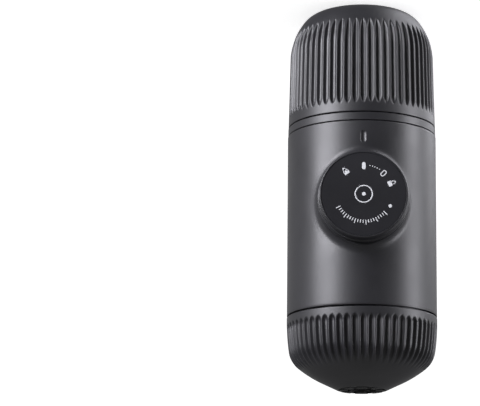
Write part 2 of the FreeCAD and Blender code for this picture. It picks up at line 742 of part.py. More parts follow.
# ------------------------------------------------------------------ knob
def knob_cap():
    inner = KNOB_R - KNOB_WALL
    dial_floor = KNOB_FACE - DIAL_POCKET
    pocket_r = CLIP_R + LOOSE
    shape = turned(
        (inner, KNOB_TAIL),
        (KNOB_R, KNOB_TAIL),
        (KNOB_R, KNOB_FACE - KNOB_DRAFT),
        (KNOB_FACE_R, KNOB_FACE - KNOB_EDGE),
        (KNOB_FACE_R - KNOB_EDGE, KNOB_FACE),
        (DIAL_R + FIT, KNOB_FACE),
        (DIAL_R + FIT, dial_floor),
        (pocket_r, dial_floor),
        (pocket_r, dial_floor - CLIP_POCKET - CLIP_PLAY),
        (JOURNAL_R + RUNNING, dial_floor - CLIP_POCKET - CLIP_PLAY),
        (JOURNAL_R + RUNNING, HUB_TAIL),
        (HUB_R, HUB_TAIL),
        (HUB_R, KNOB_UNDER),
        (inner, KNOB_UNDER),
    )
    lug = wedge(inner + KNOB_WALL / 2, KNOB_TAIL, KNOB_TAIL + LUG_LENGTH, 90 - LUG_ANGLE / 2, LUG_ANGLE)
    lug = lug.cut(rod(inner - LUG_HEIGHT, KNOB_TAIL, KNOB_FACE))
    return facing_front(joined(shape, *spaced(lug, 2)))


def dial_disc():
    low = KNOB_FACE - DIAL_POCKET
    top = low + DIAL_THICKNESS
    bevel = EDGE_BREAK / 2
    outline = [(0, low), (DIAL_R, low), (DIAL_R, top - bevel), (DIAL_R - bevel, top), (0, top)]
    return facing_front(turned(*outline))


# ------------------------------------------------------------------ valves and outlet tube
def valve_seat(low, high):
    """A pushed-in plug that the ball closes."""
    return ring(VALVE_BORE_R - FIT, SEAT_HOLE_R, low, high, y=VALVE_Y)


def valve_ball(seat_z):
    return Part.makeSphere(BALL_R, vec(0, VALVE_Y, seat_z + BALL_RISE))


def valve_spring(seat_z):
    low = seat_z + BALL_RISE + COIL_ON_BALL
    return moved(coil(VALVE_COIL_R, VALVE_WIRE_R, VALVE_TURNS, low, seat_z + SPRING_ROOM), y=VALVE_Y)


def tube_seal_heights():
    return [TUBE_Z + TUBE_SEAL_INSET, DUCT_Z - TUBE_SEAL_INSET]


def outlet_tube():
    tube = ring(TUBE_R, TUBE_BORE_R, TUBE_Z, DUCT_Z, y=VALVE_Y)
    grooves = []
    for z in tube_seal_heights():
        low, high = z - TUBE_SEAL_R, z + TUBE_SEAL_R
        grooves.append(ring(TUBE_R + 1, VALVE_BORE_R - 2 * TUBE_SEAL_R, low, high, y=VALVE_Y))
    return tube.cut(grooves)


def tube_seals():
    major = VALVE_BORE_R - TUBE_SEAL_R
    seals = [seal_ring(major, TUBE_SEAL_R, z) for z in tube_seal_heights()]
    return Part.makeCompound([moved(seal, y=VALVE_Y) for seal in seals])


# ------------------------------------------------------------------ brew head
def brew_head():
    spigot_inner = SPIGOT_R - SPIGOT_WALL
    outline = [
        (0, BREW_UNDER),
        (spigot_inner, BREW_UNDER),
        (spigot_inner, SHELL_TOP - SPIGOT_LENGTH),
        (SPIGOT_R, SHELL_TOP - SPIGOT_LENGTH),
        (SPIGOT_R, SHELL_TOP),
        (SEAT_STEP_R, SHELL_TOP),
        (SEAT_STEP_R, BREW_STEP_Z),
        (COLLAR_R, BREW_STEP_Z),
        (COLLAR_R, BREW_END),
        (GASKET_R + FIT, BREW_END),
        (GASKET_R + FIT, GROOVE_Z),
        (BREW_PAD_R, GROOVE_Z),
        (BREW_PAD_R, BREW_PAD_Z),
        (SPREAD_R, BREW_PAD_Z),
        (SPREAD_R, BREW_PAD_Z - SPREAD_DEPTH),
        (SHOWER_SCREW[0], BREW_PAD_Z - SPREAD_DEPTH),
        (SHOWER_SCREW[0], BREW_PAD_Z),
        (0, BREW_PAD_Z),
    ]
    socket = rod(SOCKET_R, BREW_UNDER - SOCKET_DROP, BREW_UNDER + 1, y=VALVE_Y)
    head = joined(turned(*outline), socket)
    duct_start = vec(0, SPREADER_Y, DUCT_Z + TUBE_BORE_R)
    duct = Part.makeCylinder(TUBE_BORE_R, VALVE_Y - SPREADER_Y, duct_start, Y_AXIS)
    spread_z = BREW_PAD_Z - SPREAD_DEPTH
    drills = [
        rod(VALVE_BORE_R, BREW_UNDER - SOCKET_DROP, DUCT_Z, y=VALVE_Y),
        rod(TUBE_BORE_R, DUCT_Z, DUCT_Z + DUCT_TURN, y=VALVE_Y),
        duct,
        rod(TUBE_BORE_R, DUCT_Z + TUBE_BORE_R, spread_z, y=SPREADER_Y),
        rod(SHOWER_SCREW[2], BREW_PAD_Z - SHOWER_SCREW[3], BREW_PAD_Z),
    ]
    for x, y in post_places():
        drills.append(rod(POST_SCREW[2] + FIT, BREW_UNDER, spread_z, x, y))
        drills.append(rod(POST_SCREW[0] + FIT, BREW_UNDER + BREW_PLATE, spread_z, x, y))
    return head.cut(drills)


def brew_screws():
    one = screw(POST_SCREW)
    seat = BREW_UNDER + BREW_PLATE
    return Part.makeCompound([moved(one, x, y, seat) for x, y in post_places()])


def brew_gasket():
    inner = BREW_PAD_R + GASKET_PLAY
    return ring(GASKET_R, inner, GROOVE_Z, GASKET_Z)


def shower_screen():
    top = BREW_PAD_Z + SCREEN_THICKNESS
    holes = hole_rings(SCREEN_HOLE_R, SCREEN_RINGS, BREW_PAD_Z, top)
    holes[0] = rod(SHOWER_SCREW[2] + FIT, BREW_PAD_Z, top)
    return rod(SCREEN_R, BREW_PAD_Z, top).cut(holes)


def shower_screw():
    return moved(screw(SHOWER_SCREW), z=BREW_PAD_Z + SCREEN_THICKNESS)


# ------------------------------------------------------------------ filter basket
def filter_basket():
    """A pressed sheet cup: its mouth looks down at the shower screen."""
    inner = BASKET_R - BASKET_SHEET
    cup = turned(
        (inner, GASKET_Z),
        (BASKET_RIM_R, GASKET_Z),
        (BASKET_RIM_R, BASKET_TOP),
        (BASKET_R, BASKET_TOP),
        (BASKET_R - BASKET_SHEET, BASKET_END),
        (0, BASKET_END),
        (0, BASKET_END - BASKET_SHEET),
        (inner - BASKET_SHEET, BASKET_END - BASKET_SHEET),
    )
    return cup.cut(hole_rings(BASKET_HOLE_R, BASKET_RINGS, BASKET_END - BASKET_SHEET, BASKET_END))


# ------------------------------------------------------------------ portafilter and nozzle
def portafilter():
    outer = head_line().turned()
    line = Meridian(HEAD_RIM_R, 0, HEAD_SIDE_HEADING).run(HEAD_SIDE)
    line.turn(HEAD_BULGE_R, HEAD_BAND_HEADING).cleared()
    line.turn(HEAD_BULGE_R, HEAD_BULGE_HEADING).turn(HEAD_SHOULDER_R, HEAD_FADE_HEADING).run(HEAD_FADE)
    outer = fluted(outer, line, HEAD_BAND_HEADING)
    outer.translate(vec(0, 0, HEAD_Z))
    edge = turned(
        (HEAD_RIM_R - EDGE_BREAK, HEAD_Z),
        (HEAD_RIM_R + EDGE_BREAK, HEAD_Z),
        (HEAD_RIM_R + EDGE_BREAK, HEAD_Z + 2 * EDGE_BREAK),
    )
    room = turned(
        (0, HEAD_Z),
        (MOUTH_R, HEAD_Z),
        (MOUTH_R, GASKET_Z + LOOSE),
        (POCKET_R, GASKET_Z + LOOSE),
        (POCKET_R, POCKET_Z),
        (HEAD_CAVITY_R, POCKET_Z),
        (HEAD_CAVITY_R, BASKET_END + FUNNEL_GAP),
        (NOZZLE_STEM_R, BASKET_END + FUNNEL_GAP + FUNNEL_RISE),
        (NOZZLE_STEM_R, NOZZLE_SEAT),
        (NOZZLE_R + FIT, NOZZLE_SEAT),
        (NOZZLE_R + FIT, NOZZLE_TOP),
        (0, NOZZLE_TOP),
    )
    return outer.cut([edge, room])


def portafilter_seal():
    outer = HEAD_CAVITY_R + HEAD_SEAL_WIDTH
    return ring(outer, HEAD_CAVITY_R, BASKET_TOP, POCKET_Z)


def nozzle():
    stem_r = NOZZLE_STEM_R - FIT
    seal_low = NOZZLE_SEAT - 2 * NOZZLE_SEAL_SECTION_R
    recess_z = NOZZLE_TOP - NOZZLE_RECESS
    shape = turned(
        (SPOUT_R, FUNNEL_TOP),
        (stem_r, FUNNEL_TOP),
        (stem_r, seal_low),
        (NOZZLE_STEM_R - 2 * NOZZLE_SEAL_SECTION_R, seal_low),
        (NOZZLE_STEM_R - 2 * NOZZLE_SEAL_SECTION_R, NOZZLE_SEAT),
        (NOZZLE_R, NOZZLE_SEAT),
        (NOZZLE_R, NOZZLE_TOP - EDGE_BREAK),
        (NOZZLE_R - EDGE_BREAK, NOZZLE_TOP),
        (NOZZLE_RECESS_R, NOZZLE_TOP),
        (NOZZLE_RECESS_R - EDGE_BREAK, recess_z),
        (SPOUT_R, recess_z),
        (SPOUT_R, CHAMBER_TOP),
        (CHAMBER_R, CHAMBER_TOP),
        (CHAMBER_R, CHAMBER_Z),
        (SPOUT_R, CHAMBER_Z),
    )
    length = NOZZLE_R - NOZZLE_RECESS_R + 2
    low = NOZZLE_TOP - NOZZLE_NOTCH_DEPTH
    notch = Part.makeBox(
        length,
        NOZZLE_NOTCH_WIDTH,
        NOZZLE_NOTCH_DEPTH + 1,
        vec(NOZZLE_RECESS_R - 1, -NOZZLE_NOTCH_WIDTH / 2, low),
    )
    return shape.cut(spaced(notch, NOZZLE_NOTCHES, 180.0 / NOZZLE_NOTCHES))


def nozzle_seal():
    major = NOZZLE_STEM_R - NOZZLE_SEAL_SECTION_R
    return seal_ring(major, NOZZLE_SEAL_SECTION_R, NOZZLE_SEAT - NOZZLE_SEAL_SECTION_R)


def brew_valve():
    """A disc with a stub that centres its spring."""
    top = CHAMBER_Z + VALVE_DISC
    disc = rod(VALVE_DISC_R, CHAMBER_Z, top)
    stub = rod(BREW_SPRING_COIL_R - 3 * VALVE_WIRE_R, top, top + VALVE_STUB)
    return joined(disc, stub)


def brew_valve_spring():
    low = CHAMBER_Z + VALVE_DISC
    return coil(BREW_SPRING_COIL_R, VALVE_WIRE_R, BREW_SPRING_TURNS, low, CHAMBER_TOP)


# ------------------------------------------------------------------ everything, by node name
NODES = {
    "water_tank": water_tank,
    "tank_seal": tank_seal,
    "tank_collar": tank_collar,
    "collar_screws": collar_screws,
    "intake_strainer": intake_strainer,
    "air_valve": air_valve,
    "body_shell": body_shell,
    "pump_block": pump_block,
    "rod_guide": rod_guide,
    "lock_tube": lock_tube,
    "lock_screws": lock_screws,
    "return_spring": return_spring,
    "plunger_rod": plunger_rod,
    "piston": piston,
    "piston_seal": piston_seal,
    "knob_clip": knob_clip,
    "knob_cap": knob_cap,
    "dial_disc": dial_disc,
    "inlet_valve_seat": lambda: valve_seat(COLLAR_TOP, INLET_SEAT_Z),
    "inlet_valve_ball": lambda: valve_ball(INLET_SEAT_Z),
    "inlet_valve_spring": lambda: valve_spring(INLET_SEAT_Z),
    "outlet_valve_seat": lambda: valve_seat(OUTLET_Z, OUTLET_SEAT_Z),
    "outlet_valve_ball": lambda: valve_ball(OUTLET_SEAT_Z),
    "outlet_valve_spring": lambda: valve_spring(OUTLET_SEAT_Z),
    "outlet_tube": outlet_tube,
    "tube_seals": tube_seals,
    "brew_head": brew_head,
    "brew_screws": brew_screws,
    "brew_gasket": brew_gasket,
    "shower_screen": shower_screen,
    "shower_screw": shower_screw,
    "filter_basket": filter_basket,
    "portafilter": portafilter,
    "portafilter_seal": portafilter_seal,
    "nozzle": nozzle,
    "nozzle_seal": nozzle_seal,
    "brew_valve": brew_valve,
    "brew_valve_spring": brew_valve_spring,
}


def main():
    os.makedirs("parts", exist_ok=True)
    for name, make in NODES.items():
        shape = make()
        shape.exportStep(f"parts/{name}.step")
        box = shape.BoundBox
        print(
            f"{name}: {len(shape.Solids)} solid, valid {shape.isValid()}, {shape.Volume:.1f} mm3,"
            f" z {box.ZMin:.2f}..{box.ZMax:.2f}, y {box.YMin:.2f}..{box.YMax:.2f}"
        )


main()
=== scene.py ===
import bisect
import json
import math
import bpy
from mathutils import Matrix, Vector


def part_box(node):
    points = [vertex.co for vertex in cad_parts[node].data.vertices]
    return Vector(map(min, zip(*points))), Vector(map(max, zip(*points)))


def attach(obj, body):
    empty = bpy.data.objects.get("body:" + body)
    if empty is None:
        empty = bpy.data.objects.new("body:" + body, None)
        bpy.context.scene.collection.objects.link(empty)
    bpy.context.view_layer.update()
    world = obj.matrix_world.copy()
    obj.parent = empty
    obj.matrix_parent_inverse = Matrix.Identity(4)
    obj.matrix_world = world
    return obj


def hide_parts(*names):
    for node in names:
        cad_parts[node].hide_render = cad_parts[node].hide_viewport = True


bl_info = {
    "name": "Handheld espresso maker",
    "version": (1, 0, 0),
    "blender": (4, 5, 0),
    "location": "View3D > Sidebar > Espresso maker",
    "description": "Dresses the packed espresso maker in detailed pieces and finishes, and lights it",
    "category": "Object",
}

import bpy
from mathutils import Matrix, Vector

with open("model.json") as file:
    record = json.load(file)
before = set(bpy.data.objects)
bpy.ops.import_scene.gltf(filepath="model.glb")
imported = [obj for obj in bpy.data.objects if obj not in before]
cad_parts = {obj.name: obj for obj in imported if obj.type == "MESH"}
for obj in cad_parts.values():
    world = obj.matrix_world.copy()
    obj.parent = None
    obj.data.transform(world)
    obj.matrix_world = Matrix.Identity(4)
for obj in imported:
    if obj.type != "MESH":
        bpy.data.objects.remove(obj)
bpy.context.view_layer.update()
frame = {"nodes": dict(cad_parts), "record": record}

MM = 0.001
MERGE = 1e-6            # vertices nearer than this, in metres, are one
NEAR = 1e-3             # a place nearer than this to a plane, in millimetres, is on it
SHARP = math.radians(32)


def reach(node):
    """Lowest and highest corner of a CAD node, in millimetres."""
    low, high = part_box(node)
    return low / MM, high / MM


TANK_RIM_Z = reach("water_tank")[1].z
SHELL_LOW, SHELL_HIGH = (corner.z for corner in reach("body_shell"))
HEAD_Z, NOZZLE_Z = reach("portafilter")[0].z, reach("nozzle")[1].z
KNOB_LOW, KNOB_HIGH = reach("knob_cap")
KNOB_Z = (KNOB_LOW.z + KNOB_HIGH.z) / 2
KNOB_R = (KNOB_HIGH.z - KNOB_LOW.z) / 2
KNOB_FACE, KNOB_TAIL = -KNOB_LOW.y, -KNOB_HIGH.y
KNOB_SKIRT_R = 17.66    # the knob's wall, where it stands in its boss
DIAL_FACE = -reach("dial_disc")[0].y
DIAL_R = reach("dial_disc")[1].x
COLLAR_END = reach("tank_collar")[0].z


# ------------------------------------------------------------------ modelling
def take(*objects):
    """Leaves only these objects selected, the last one active."""
    bpy.ops.object.select_all(action="DESELECT")
    for obj in objects:
        obj.select_set(True)
        bpy.context.view_layer.objects.active = obj


def named(name):
    """The new primitive, under its own name."""
    obj = bpy.context.object
    obj.name = obj.data.name = name
    return obj


def edit(obj):
    """Opens an object in edit mode with nothing selected."""
    take(obj)
    bpy.ops.object.mode_set(mode="EDIT")
    bpy.ops.mesh.select_mode(type="VERT")
    bpy.ops.mesh.select_all(action="DESELECT")


def done():
    bpy.ops.object.mode_set(mode="OBJECT")


def select(obj, kind, wanted):
    """In edit mode: selects the vertices or edges whose middle, in millimetres, passes a test."""
    bpy.ops.mesh.select_mode(type={"vertices": "VERT", "edges": "EDGE"}[kind])
    bpy.ops.mesh.select_all(action="DESELECT")
    done()
    mesh = obj.data
    if kind == "vertices":
        places = [vertex.co / MM for vertex in mesh.vertices]
    else:
        ends = [[mesh.vertices[i].co for i in edge.vertices] for edge in mesh.edges]
        places = [(a + b) / 2 / MM for a, b in ends]
    for element, place in zip(getattr(mesh, kind), places):
        element.select = bool(wanted(place))
    bpy.ops.object.mode_set(mode="EDIT")


def apply(obj, kind, **settings):
    """Adds a modifier and applies it."""
    take(obj)
    bpy.ops.object.modifier_add(type=kind)
    modifier = obj.modifiers[-1]
    for key, value in settings.items():
        setattr(modifier, key, value)
    bpy.ops.object.modifier_apply(modifier=modifier.name)


def smooth(obj, angle=SHARP):
    take(obj)
    bpy.ops.object.shade_smooth_by_angle(angle=angle)


def rounded(obj, width, segments=3, angle=SHARP):
    """Rounds every edge sharper than the angle, by a width in millimetres."""
    apply(obj, "BEVEL", width=width * MM, segments=segments, limit_method="ANGLE", angle_limit=angle)


def closed(inside=False):
    """In edit mode: merges the doubles and turns all faces outwards, or inwards."""
    bpy.ops.mesh.select_mode(type="VERT")
    bpy.ops.mesh.select_all(action="SELECT")
    bpy.ops.mesh.remove_doubles(threshold=MERGE)
    bpy.ops.mesh.normals_make_consistent(inside=inside)


def lathe(name, points, steps, inside=False):
    """Turns a line of (radius, height) points about Z. A vertex is extruded from point to point."""
    bpy.ops.mesh.primitive_plane_add(size=MM)
    obj = named(name)
    bpy.ops.object.mode_set(mode="EDIT")
    bpy.ops.mesh.merge(type="CENTER")
    places = [Vector((r, 0, z)) * MM for r, z in points]
    bpy.ops.transform.translate(value=places[0])
    for here, there in zip(places, places[1:]):
        bpy.ops.mesh.extrude_vertices_move(TRANSFORM_OT_translate={"value": there - here})
    done()
    apply(obj, "SCREW", angle=math.tau, steps=steps, render_steps=steps, merge_threshold=MERGE)
    bpy.ops.object.mode_set(mode="EDIT")
    closed(inside)
    done()
    return obj


def turned(name, points, steps):
    """A closed turned solid: its outline runs from the axis or from its first point back to it."""
    first, last = points[0], points[-1]
    if first[0] > 0 or last[0] > 0:
        points = points + [first]
    return lathe(name, points, steps)


def joined(obj, *others):
    """Joins open surfaces that meet edge to edge into one closed piece."""
    take(*others, obj)
    bpy.ops.object.join()
    bpy.ops.object.mode_set(mode="EDIT")
    closed()
    done()
    return obj


def placed(obj, matrix):
    """Moves a piece and applies the move, so that its object stays at the origin."""
    obj.matrix_world = matrix @ obj.matrix_world
    take(obj)
    bpy.ops.object.transform_apply(location=True, rotation=True, scale=True)
    return obj


def shift(x=0.0, y=0.0, z=0.0):
    return Matrix.Translation(Vector((x, y, z)) * MM)


def turn(degrees, axis):
    return Matrix.Rotation(math.radians(degrees), 4, axis)


TO_FRONT = shift(z=KNOB_Z) @ turn(90, "X")


def copied(obj, name, matrix):
    take(obj)
    bpy.ops.object.duplicate(linked=False)
    return placed(named(name), matrix)


def cut(obj, *cutters):
    """Takes the cutters out of a piece and deletes them."""
    cutter = cutters[0]
    if len(cutters) > 1:
        take(*cutters[1:], cutter)
        bpy.ops.object.join()
    apply(obj, "BOOLEAN", operation="DIFFERENCE", solver="EXACT", object=cutter)
    take(cutter)
    bpy.ops.object.delete()


def press(obj, depth, weight_at):
    """Presses a surface in along its normals, by the depth in millimetres times weight_at(place)."""
    group = obj.vertex_groups.new(name="pressed")
    for vertex in obj.data.vertices:
        weight = weight_at(vertex.co / MM)
        if weight > 0:
            group.add([vertex.index], weight, "REPLACE")
    apply(obj, "DISPLACE", vertex_group=group.name, strength=-depth * MM, mid_level=0)
    obj.vertex_groups.clear()


def finished(obj, body, slot, *nodes, look=None):
    """Gives a piece its body and the finish of its slot or another look, and hides the nodes that it
    takes the place of.
    """
    obj.data.materials.clear()
    obj.data.materials.append(finish(look or slot))
    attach(obj, body)
    if nodes:
        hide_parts(*nodes)
    return obj


def clamp(value, low=0.0, high=1.0):
    return max(low, min(high, value))


def ease(value):
    value = clamp(value)
    return value * value * (3 - 2 * value)


def meridian(r, z, heading, moves):
    """Points of a line in the (radius, height) plane, with the length run so far at each.

    A move is (length, None, step) for a straight run, or (radius, new heading, step) for a tangent arc,
    and has points a step apart. Headings are in degrees: 0 is away from the axis, 90 up and 180 to it.
    """
    points, lengths = [(r, z)], [0.0]
    angle = math.radians(heading)
    for size, new_heading, step in moves:
        bend = 0.0 if new_heading is None else math.radians(new_heading) - angle
        length = size * bend if bend else size
        count = max(1, math.ceil(length / step))
        centre = (r - size * math.sin(angle), z + size * math.cos(angle))
        for i in range(1, count + 1):
            if bend:
                at = angle + bend * i / count
                point = (centre[0] + size * math.sin(at), centre[1] - size * math.cos(at))
            else:
                ahead = length * i / count
                point = (r + ahead * math.cos(angle), z + ahead * math.sin(angle))
            points.append(point)
            lengths.append(lengths[-1] + length / count)
        r, z = points[-1]
        angle += bend
    return points, lengths


def length_at(points, lengths, z):
    """The length run along a meridian that climbs all the way, where it passes a height."""
    heights = [height for _, height in points]
    i = min(max(bisect.bisect(heights, z), 1), len(points) - 1)
    part = clamp((z - heights[i - 1]) / (heights[i] - heights[i - 1]))
    return lengths[i - 1] + (lengths[i] - lengths[i - 1]) * part


# ------------------------------------------------------------------ shader maths
class Term:
    """A socket in a sum, so that shader maths reads as an expression."""

    def __init__(self, sheet, socket):
        self.sheet = sheet
        self.socket = socket

    def maths(self, operation, *values):
        return self.sheet.node("ShaderNodeMath", {"operation": operation}, dict(enumerate(values)))

    def __add__(self, other):
        return self.maths("ADD", self, other)

    def __sub__(self, other):
        return self.maths("SUBTRACT", self, other)

    def __rsub__(self, other):
        return self.maths("SUBTRACT", other, self)

    def __mul__(self, other):
        return self.maths("MULTIPLY", self, other)

    __radd__ = __add__
    __rmul__ = __mul__

    def clamped(self, low, high):
        """0 below low, 1 above high, and eased between them."""
        return self.sheet.node(
            "ShaderNodeMapRange",
            {"interpolation_type": "SMOOTHSTEP"},
            {"Value": self, "From Min": low, "From Max": high},
        )


class Sheet:
    """Adds nodes to the tree of one material or world."""

    def __init__(self, tree):
        self.tree = tree
        tree.nodes.clear()

    def node(self, kind, settings=None, values=None, out=0):
        node = self.tree.nodes.new(kind)
        for key, value in (settings or {}).items():
            setattr(node, key, value)
        for key, value in (values or {}).items():
            if isinstance(value, Term):
                self.tree.links.new(value.socket, node.inputs[key])
            else:
                node.inputs[key].default_value = value
        return Term(self, node.outputs[out])

    def place(self, scale=(1, 1, 1)):
        """The place on the object, stretched."""
        where = self.node("ShaderNodeTexCoord", out="Object")
        return self.node("ShaderNodeMapping", {}, {"Vector": where, "Scale": scale})

    def noise(self, scale, detail=2.0, roughness=0.5, stretch=(1, 1, 1)):
        values = {"Vector": self.place(stretch), "Scale": scale, "Detail": detail, "Roughness": roughness}
        return self.node("ShaderNodeTexNoise", {}, values, out="Fac")

    def blend(self, amount, a, b):
        values = {"Factor": amount, 6: a, 7: b}
        return self.node("ShaderNodeMix", {"data_type": "RGBA"}, values, out=2)

    def bump(self, height, distance):
        """A bump of a distance in millimetres."""
        values = {"Height": height, "Distance": distance * MM, "Strength": 1.0}
        return self.node("ShaderNodeBump", {}, values)

    def surface(self, shader, kind="ShaderNodeOutputMaterial"):
        output = self.tree.nodes.new(kind)
        self.tree.links.new(shader.socket, output.inputs["Surface"])


def grey(level, blue=1.2):
    """A neutral colour, a touch cool."""
    return (level, level * 0.995, level * blue, 1.0)


def new_sheet(name):
    material = bpy.data.materials.new(name)
    material.use_nodes = True
    return material, Sheet(material.node_tree)


def moulded(name, colour, roughness, grain=0.012, mottle=0.12, handling=0.08, specular=0.5):
    """Moulded plastic: a fine spark-eroded grain, slight mottling, and smoother patches from handling."""
    material, sheet = new_sheet(name)
    fine = sheet.noise(5200, detail=3, roughness=0.6)
    cloudy = sheet.noise(60, detail=4, roughness=0.6)
    rubbed = sheet.noise(34, detail=3, roughness=0.55).clamped(0.42, 0.72)
    lighter = tuple(min(1, c * (1 + mottle)) for c in colour[:3]) + (1,)
    darker = tuple(c * (1 - mottle) for c in colour[:3]) + (1,)
    shade = sheet.blend(cloudy.clamped(0.3, 0.7), darker, lighter)
    rough = roughness + (fine - 0.5) * 0.1 - rubbed * handling
    shader = sheet.node(
        "ShaderNodeBsdfPrincipled",
        {},
        {
            "Base Color": shade,
            "Roughness": rough,
            "Specular IOR Level": specular,
            "Normal": sheet.bump(fine, grain),
        },
    )
    sheet.surface(shader)
    return material


def metal(name, colour, roughness):
    """Stainless steel, turned or drawn, so its scratches run round the axis."""
    material, sheet = new_sheet(name)
    lines = sheet.noise(90, detail=5, roughness=0.65, stretch=(1, 1, 14))
    smudge = sheet.noise(45, detail=3)
    rough = roughness + (lines - 0.5) * 0.16 + smudge.clamped(0.45, 0.75) * 0.07
    scratches = sheet.bump(lines, 0.01)
    values = {"Base Color": colour, "Metallic": 1.0, "Roughness": rough, "Normal": scratches}
    sheet.surface(sheet.node("ShaderNodeBsdfPrincipled", {}, values))
    return material


def rubber(name, colour, roughness):
    """Silicone: soft, with faint dust and flow marks."""
    material, sheet = new_sheet(name)
    dust = sheet.noise(900, detail=4, roughness=0.7)
    flow = sheet.noise(80, stretch=(1, 1, 3))
    paler = tuple(min(1, c * 1.35 + 0.01) for c in colour[:3]) + (1,)
    shade = sheet.blend(dust.clamped(0.55, 0.85) * 0.7, colour, paler)
    rough = roughness + (flow - 0.5) * 0.18
    values = {"Base Color": shade, "Roughness": rough, "Normal": sheet.bump(dust, 0.006)}
    sheet.surface(sheet.node("ShaderNodeBsdfPrincipled", {}, values))
    return material


def print_ink(name, colour):
    """Pad-printed ink: almost even, with a slightly broken coat."""
    material, sheet = new_sheet(name)
    coat = sheet.noise(2600, detail=3, roughness=0.6)
    thin = tuple(c * 0.86 for c in colour[:3]) + (1,)
    shade = sheet.blend(coat.clamped(0.35, 0.6), thin, colour)
    rough = 0.5 + (coat - 0.5) * 0.2
    values = {"Base Color": shade, "Roughness": rough, "Normal": sheet.bump(coat, 0.004)}
    sheet.surface(sheet.node("ShaderNodeBsdfPrincipled", {}, values))
    return material


# ------------------------------------------------------------------ finishes
FINISHES = {}


def finish(name):
    """The finish of that name, made once."""
    if name not in FINISHES:
        colours = bpy.context.scene.espresso_finish
        make = {
            "charcoal": lambda: moulded("charcoal_plastic", colours.charcoal, 0.46, specular=0.6),
            "dial": lambda: moulded("dial_plastic", colours.dial, 0.38, grain=0.006, handling=0.05),
            "nozzle_plastic": lambda: moulded(
                "nozzle_plastic", colours.nozzle, 0.6, grain=0.006, specular=0.3
            ),
            "inner_plastic": lambda: moulded("inner_plastic", colours.inner, 0.45),
            "bush": lambda: moulded("bush_plastic", colours.bush, 0.4, grain=0.006, mottle=0.04),
            "seal": lambda: rubber("silicone", colours.seal, 0.45),
            "ink": lambda: print_ink("ink", colours.ink),
            "steel": lambda: metal("stainless_steel", colours.steel, 0.3),
        }
        FINISHES[name] = make[name]()
    return FINISHES[name]


# ------------------------------------------------------------------ sizes and colours to change
def measure(name, description, millimetres):
    return bpy.props.FloatProperty(
        name=name, description=description, default=millimetres * MM, min=0.0, unit="LENGTH", precision=5
    )


def share(name, description, default):
    return bpy.props.FloatProperty(name=name, description=description, default=default, min=0.0, max=1.0)


def number(name, description, default, least=0):
    return bpy.props.IntProperty(name=name, description=description, default=default, min=least)


def power(name, description, watts):
    return bpy.props.FloatProperty(name=name, description=description, default=watts, unit="POWER")


def tint(name, description, default):
    return bpy.props.FloatVectorProperty(
        name=name, description=description, default=default, size=4, min=0.0, max=1.0, subtype="COLOR"
    )


class EspressoFlutes(bpy.types.PropertyGroup):
    count: number("Flutes", "Flutes round each end", 60, least=3)
    columns: number("Columns", "Mesh columns across one flute", 12, least=4)
    depth: measure("Depth", "Depth of a flute", 1.15)
    floor: share("Floor", "Half the flat floor, as a share of the pitch", 0.12)
    edge: share("Edge", "Half the flute's mouth, as a share of the pitch", 0.48)
    tank_end: measure("Dome ends", "Length of the pointed ends on the tank's dome", 4.4)
    rim_end: measure("Rim ends", "Length of the pointed ends beside the tank's rim", 2.7)
    head_start: measure("Head starts", "Length of the rounded ends beside the seam", 2.2)
    head_fade: measure("Head fade", "Length over which a flute runs out into the cone", 7.5)


class EspressoBarrel(bpy.types.PropertyGroup):
    radius: measure("Radius", "Radius of the barrel", 30.45)
    wall: measure("Wall", "Wall of the barrel", 2.2)
    flare: measure("Flare", "Radius of the flare round the knob's boss", 4.2)
    boss_gap: measure("Boss gap", "Gap between the knob and its boss", 0.1)
    boss_wall: measure("Boss wall", "Wall of the boss", 0.5)
    boss_lip: measure("Boss lip", "Reach of the boss's lip from the axis", 32.2)
    index_z: measure("Index height", "Height of the middle of the index mark", 59.2)
    index_width: measure("Index width", "Width of the index mark", 2.5)
    index_length: measure("Index length", "Length of the index mark", 5.2)
    index_depth: measure("Index depth", "Depth of the index mark's trough", 0.48)
    edge: measure("Edge", "Rounding of the edges beside a seam", 0.25)
    mouth: measure("Mouth", "Radius of the tank's and the portafilter's mouth", 27.9)
    thread_depth: measure("Thread depth", "Depth of the screw threads", 0.6)
    thread_pitch: measure("Thread pitch", "Rise of the screw threads in one turn", 2.4)


class EspressoMarks(bpy.types.PropertyGroup):
    radius: measure("Radius", "Radius that the marks stand on", 11.4)
    stroke: measure("Stroke", "Width of a fine line", 0.42)
    height: measure("Height", "How far the ink stands proud", 0.04)
    ticks: number("Ticks", "Ticks of the scale on the dial", 21)


class EspressoFinish(bpy.types.PropertyGroup):
    charcoal: tint("Charcoal", "Moulded shell, tank and portafilter", grey(0.012))
    dial: tint("Dial", "Disc in the knob's face", grey(0.012))
    nozzle: tint("Nozzle", "Spout in the tip", grey(0.007))
    inner: tint("Inner plastic", "Pump, collars and valves", grey(0.030))
    bush: tint("Bush", "Valve seats, guide and outlet tube", (0.72, 0.72, 0.69, 1.0))
    seal: tint("Seal", "Silicone seals", (0.30, 0.31, 0.32, 1.0))
    ink: tint("Ink", "Marks on the dial", (0.62, 0.63, 0.65, 1.0))
    steel: tint("Steel", "Basket, screen, springs and screws", (0.62, 0.61, 0.59, 1.0))


class EspressoStudio(bpy.types.PropertyGroup):
    left: power("Left lamp", "Power of the lamp on +X", 19.5)
    right: power("Right lamp", "Power of the lamp on -X", 17.0)
    rim: power("Rim lamp", "Power of the lamp behind", 9.0)
    surround: share("Surround", "Level of the room's soft light", 0.25)
    mirrored: share("Mirrored", "Level of the white background in the gloss", 0.5)
    dim: share("Dim", "Level of the room in front of the object in the gloss", 0.1)
    floor_glow: share("Floor glow", "Level that the floor shows on its own", 0.75)


# ------------------------------------------------------------------ shared forms
def quarter(r, z, width, count=3):
    """Points that round a rim, from its side in to its end face."""
    points = []
    for i in range(count + 1):
        at = math.radians(90 * i / count)
        points.append((r - width + width * math.cos(at), z - width + width * math.sin(at)))
    return points


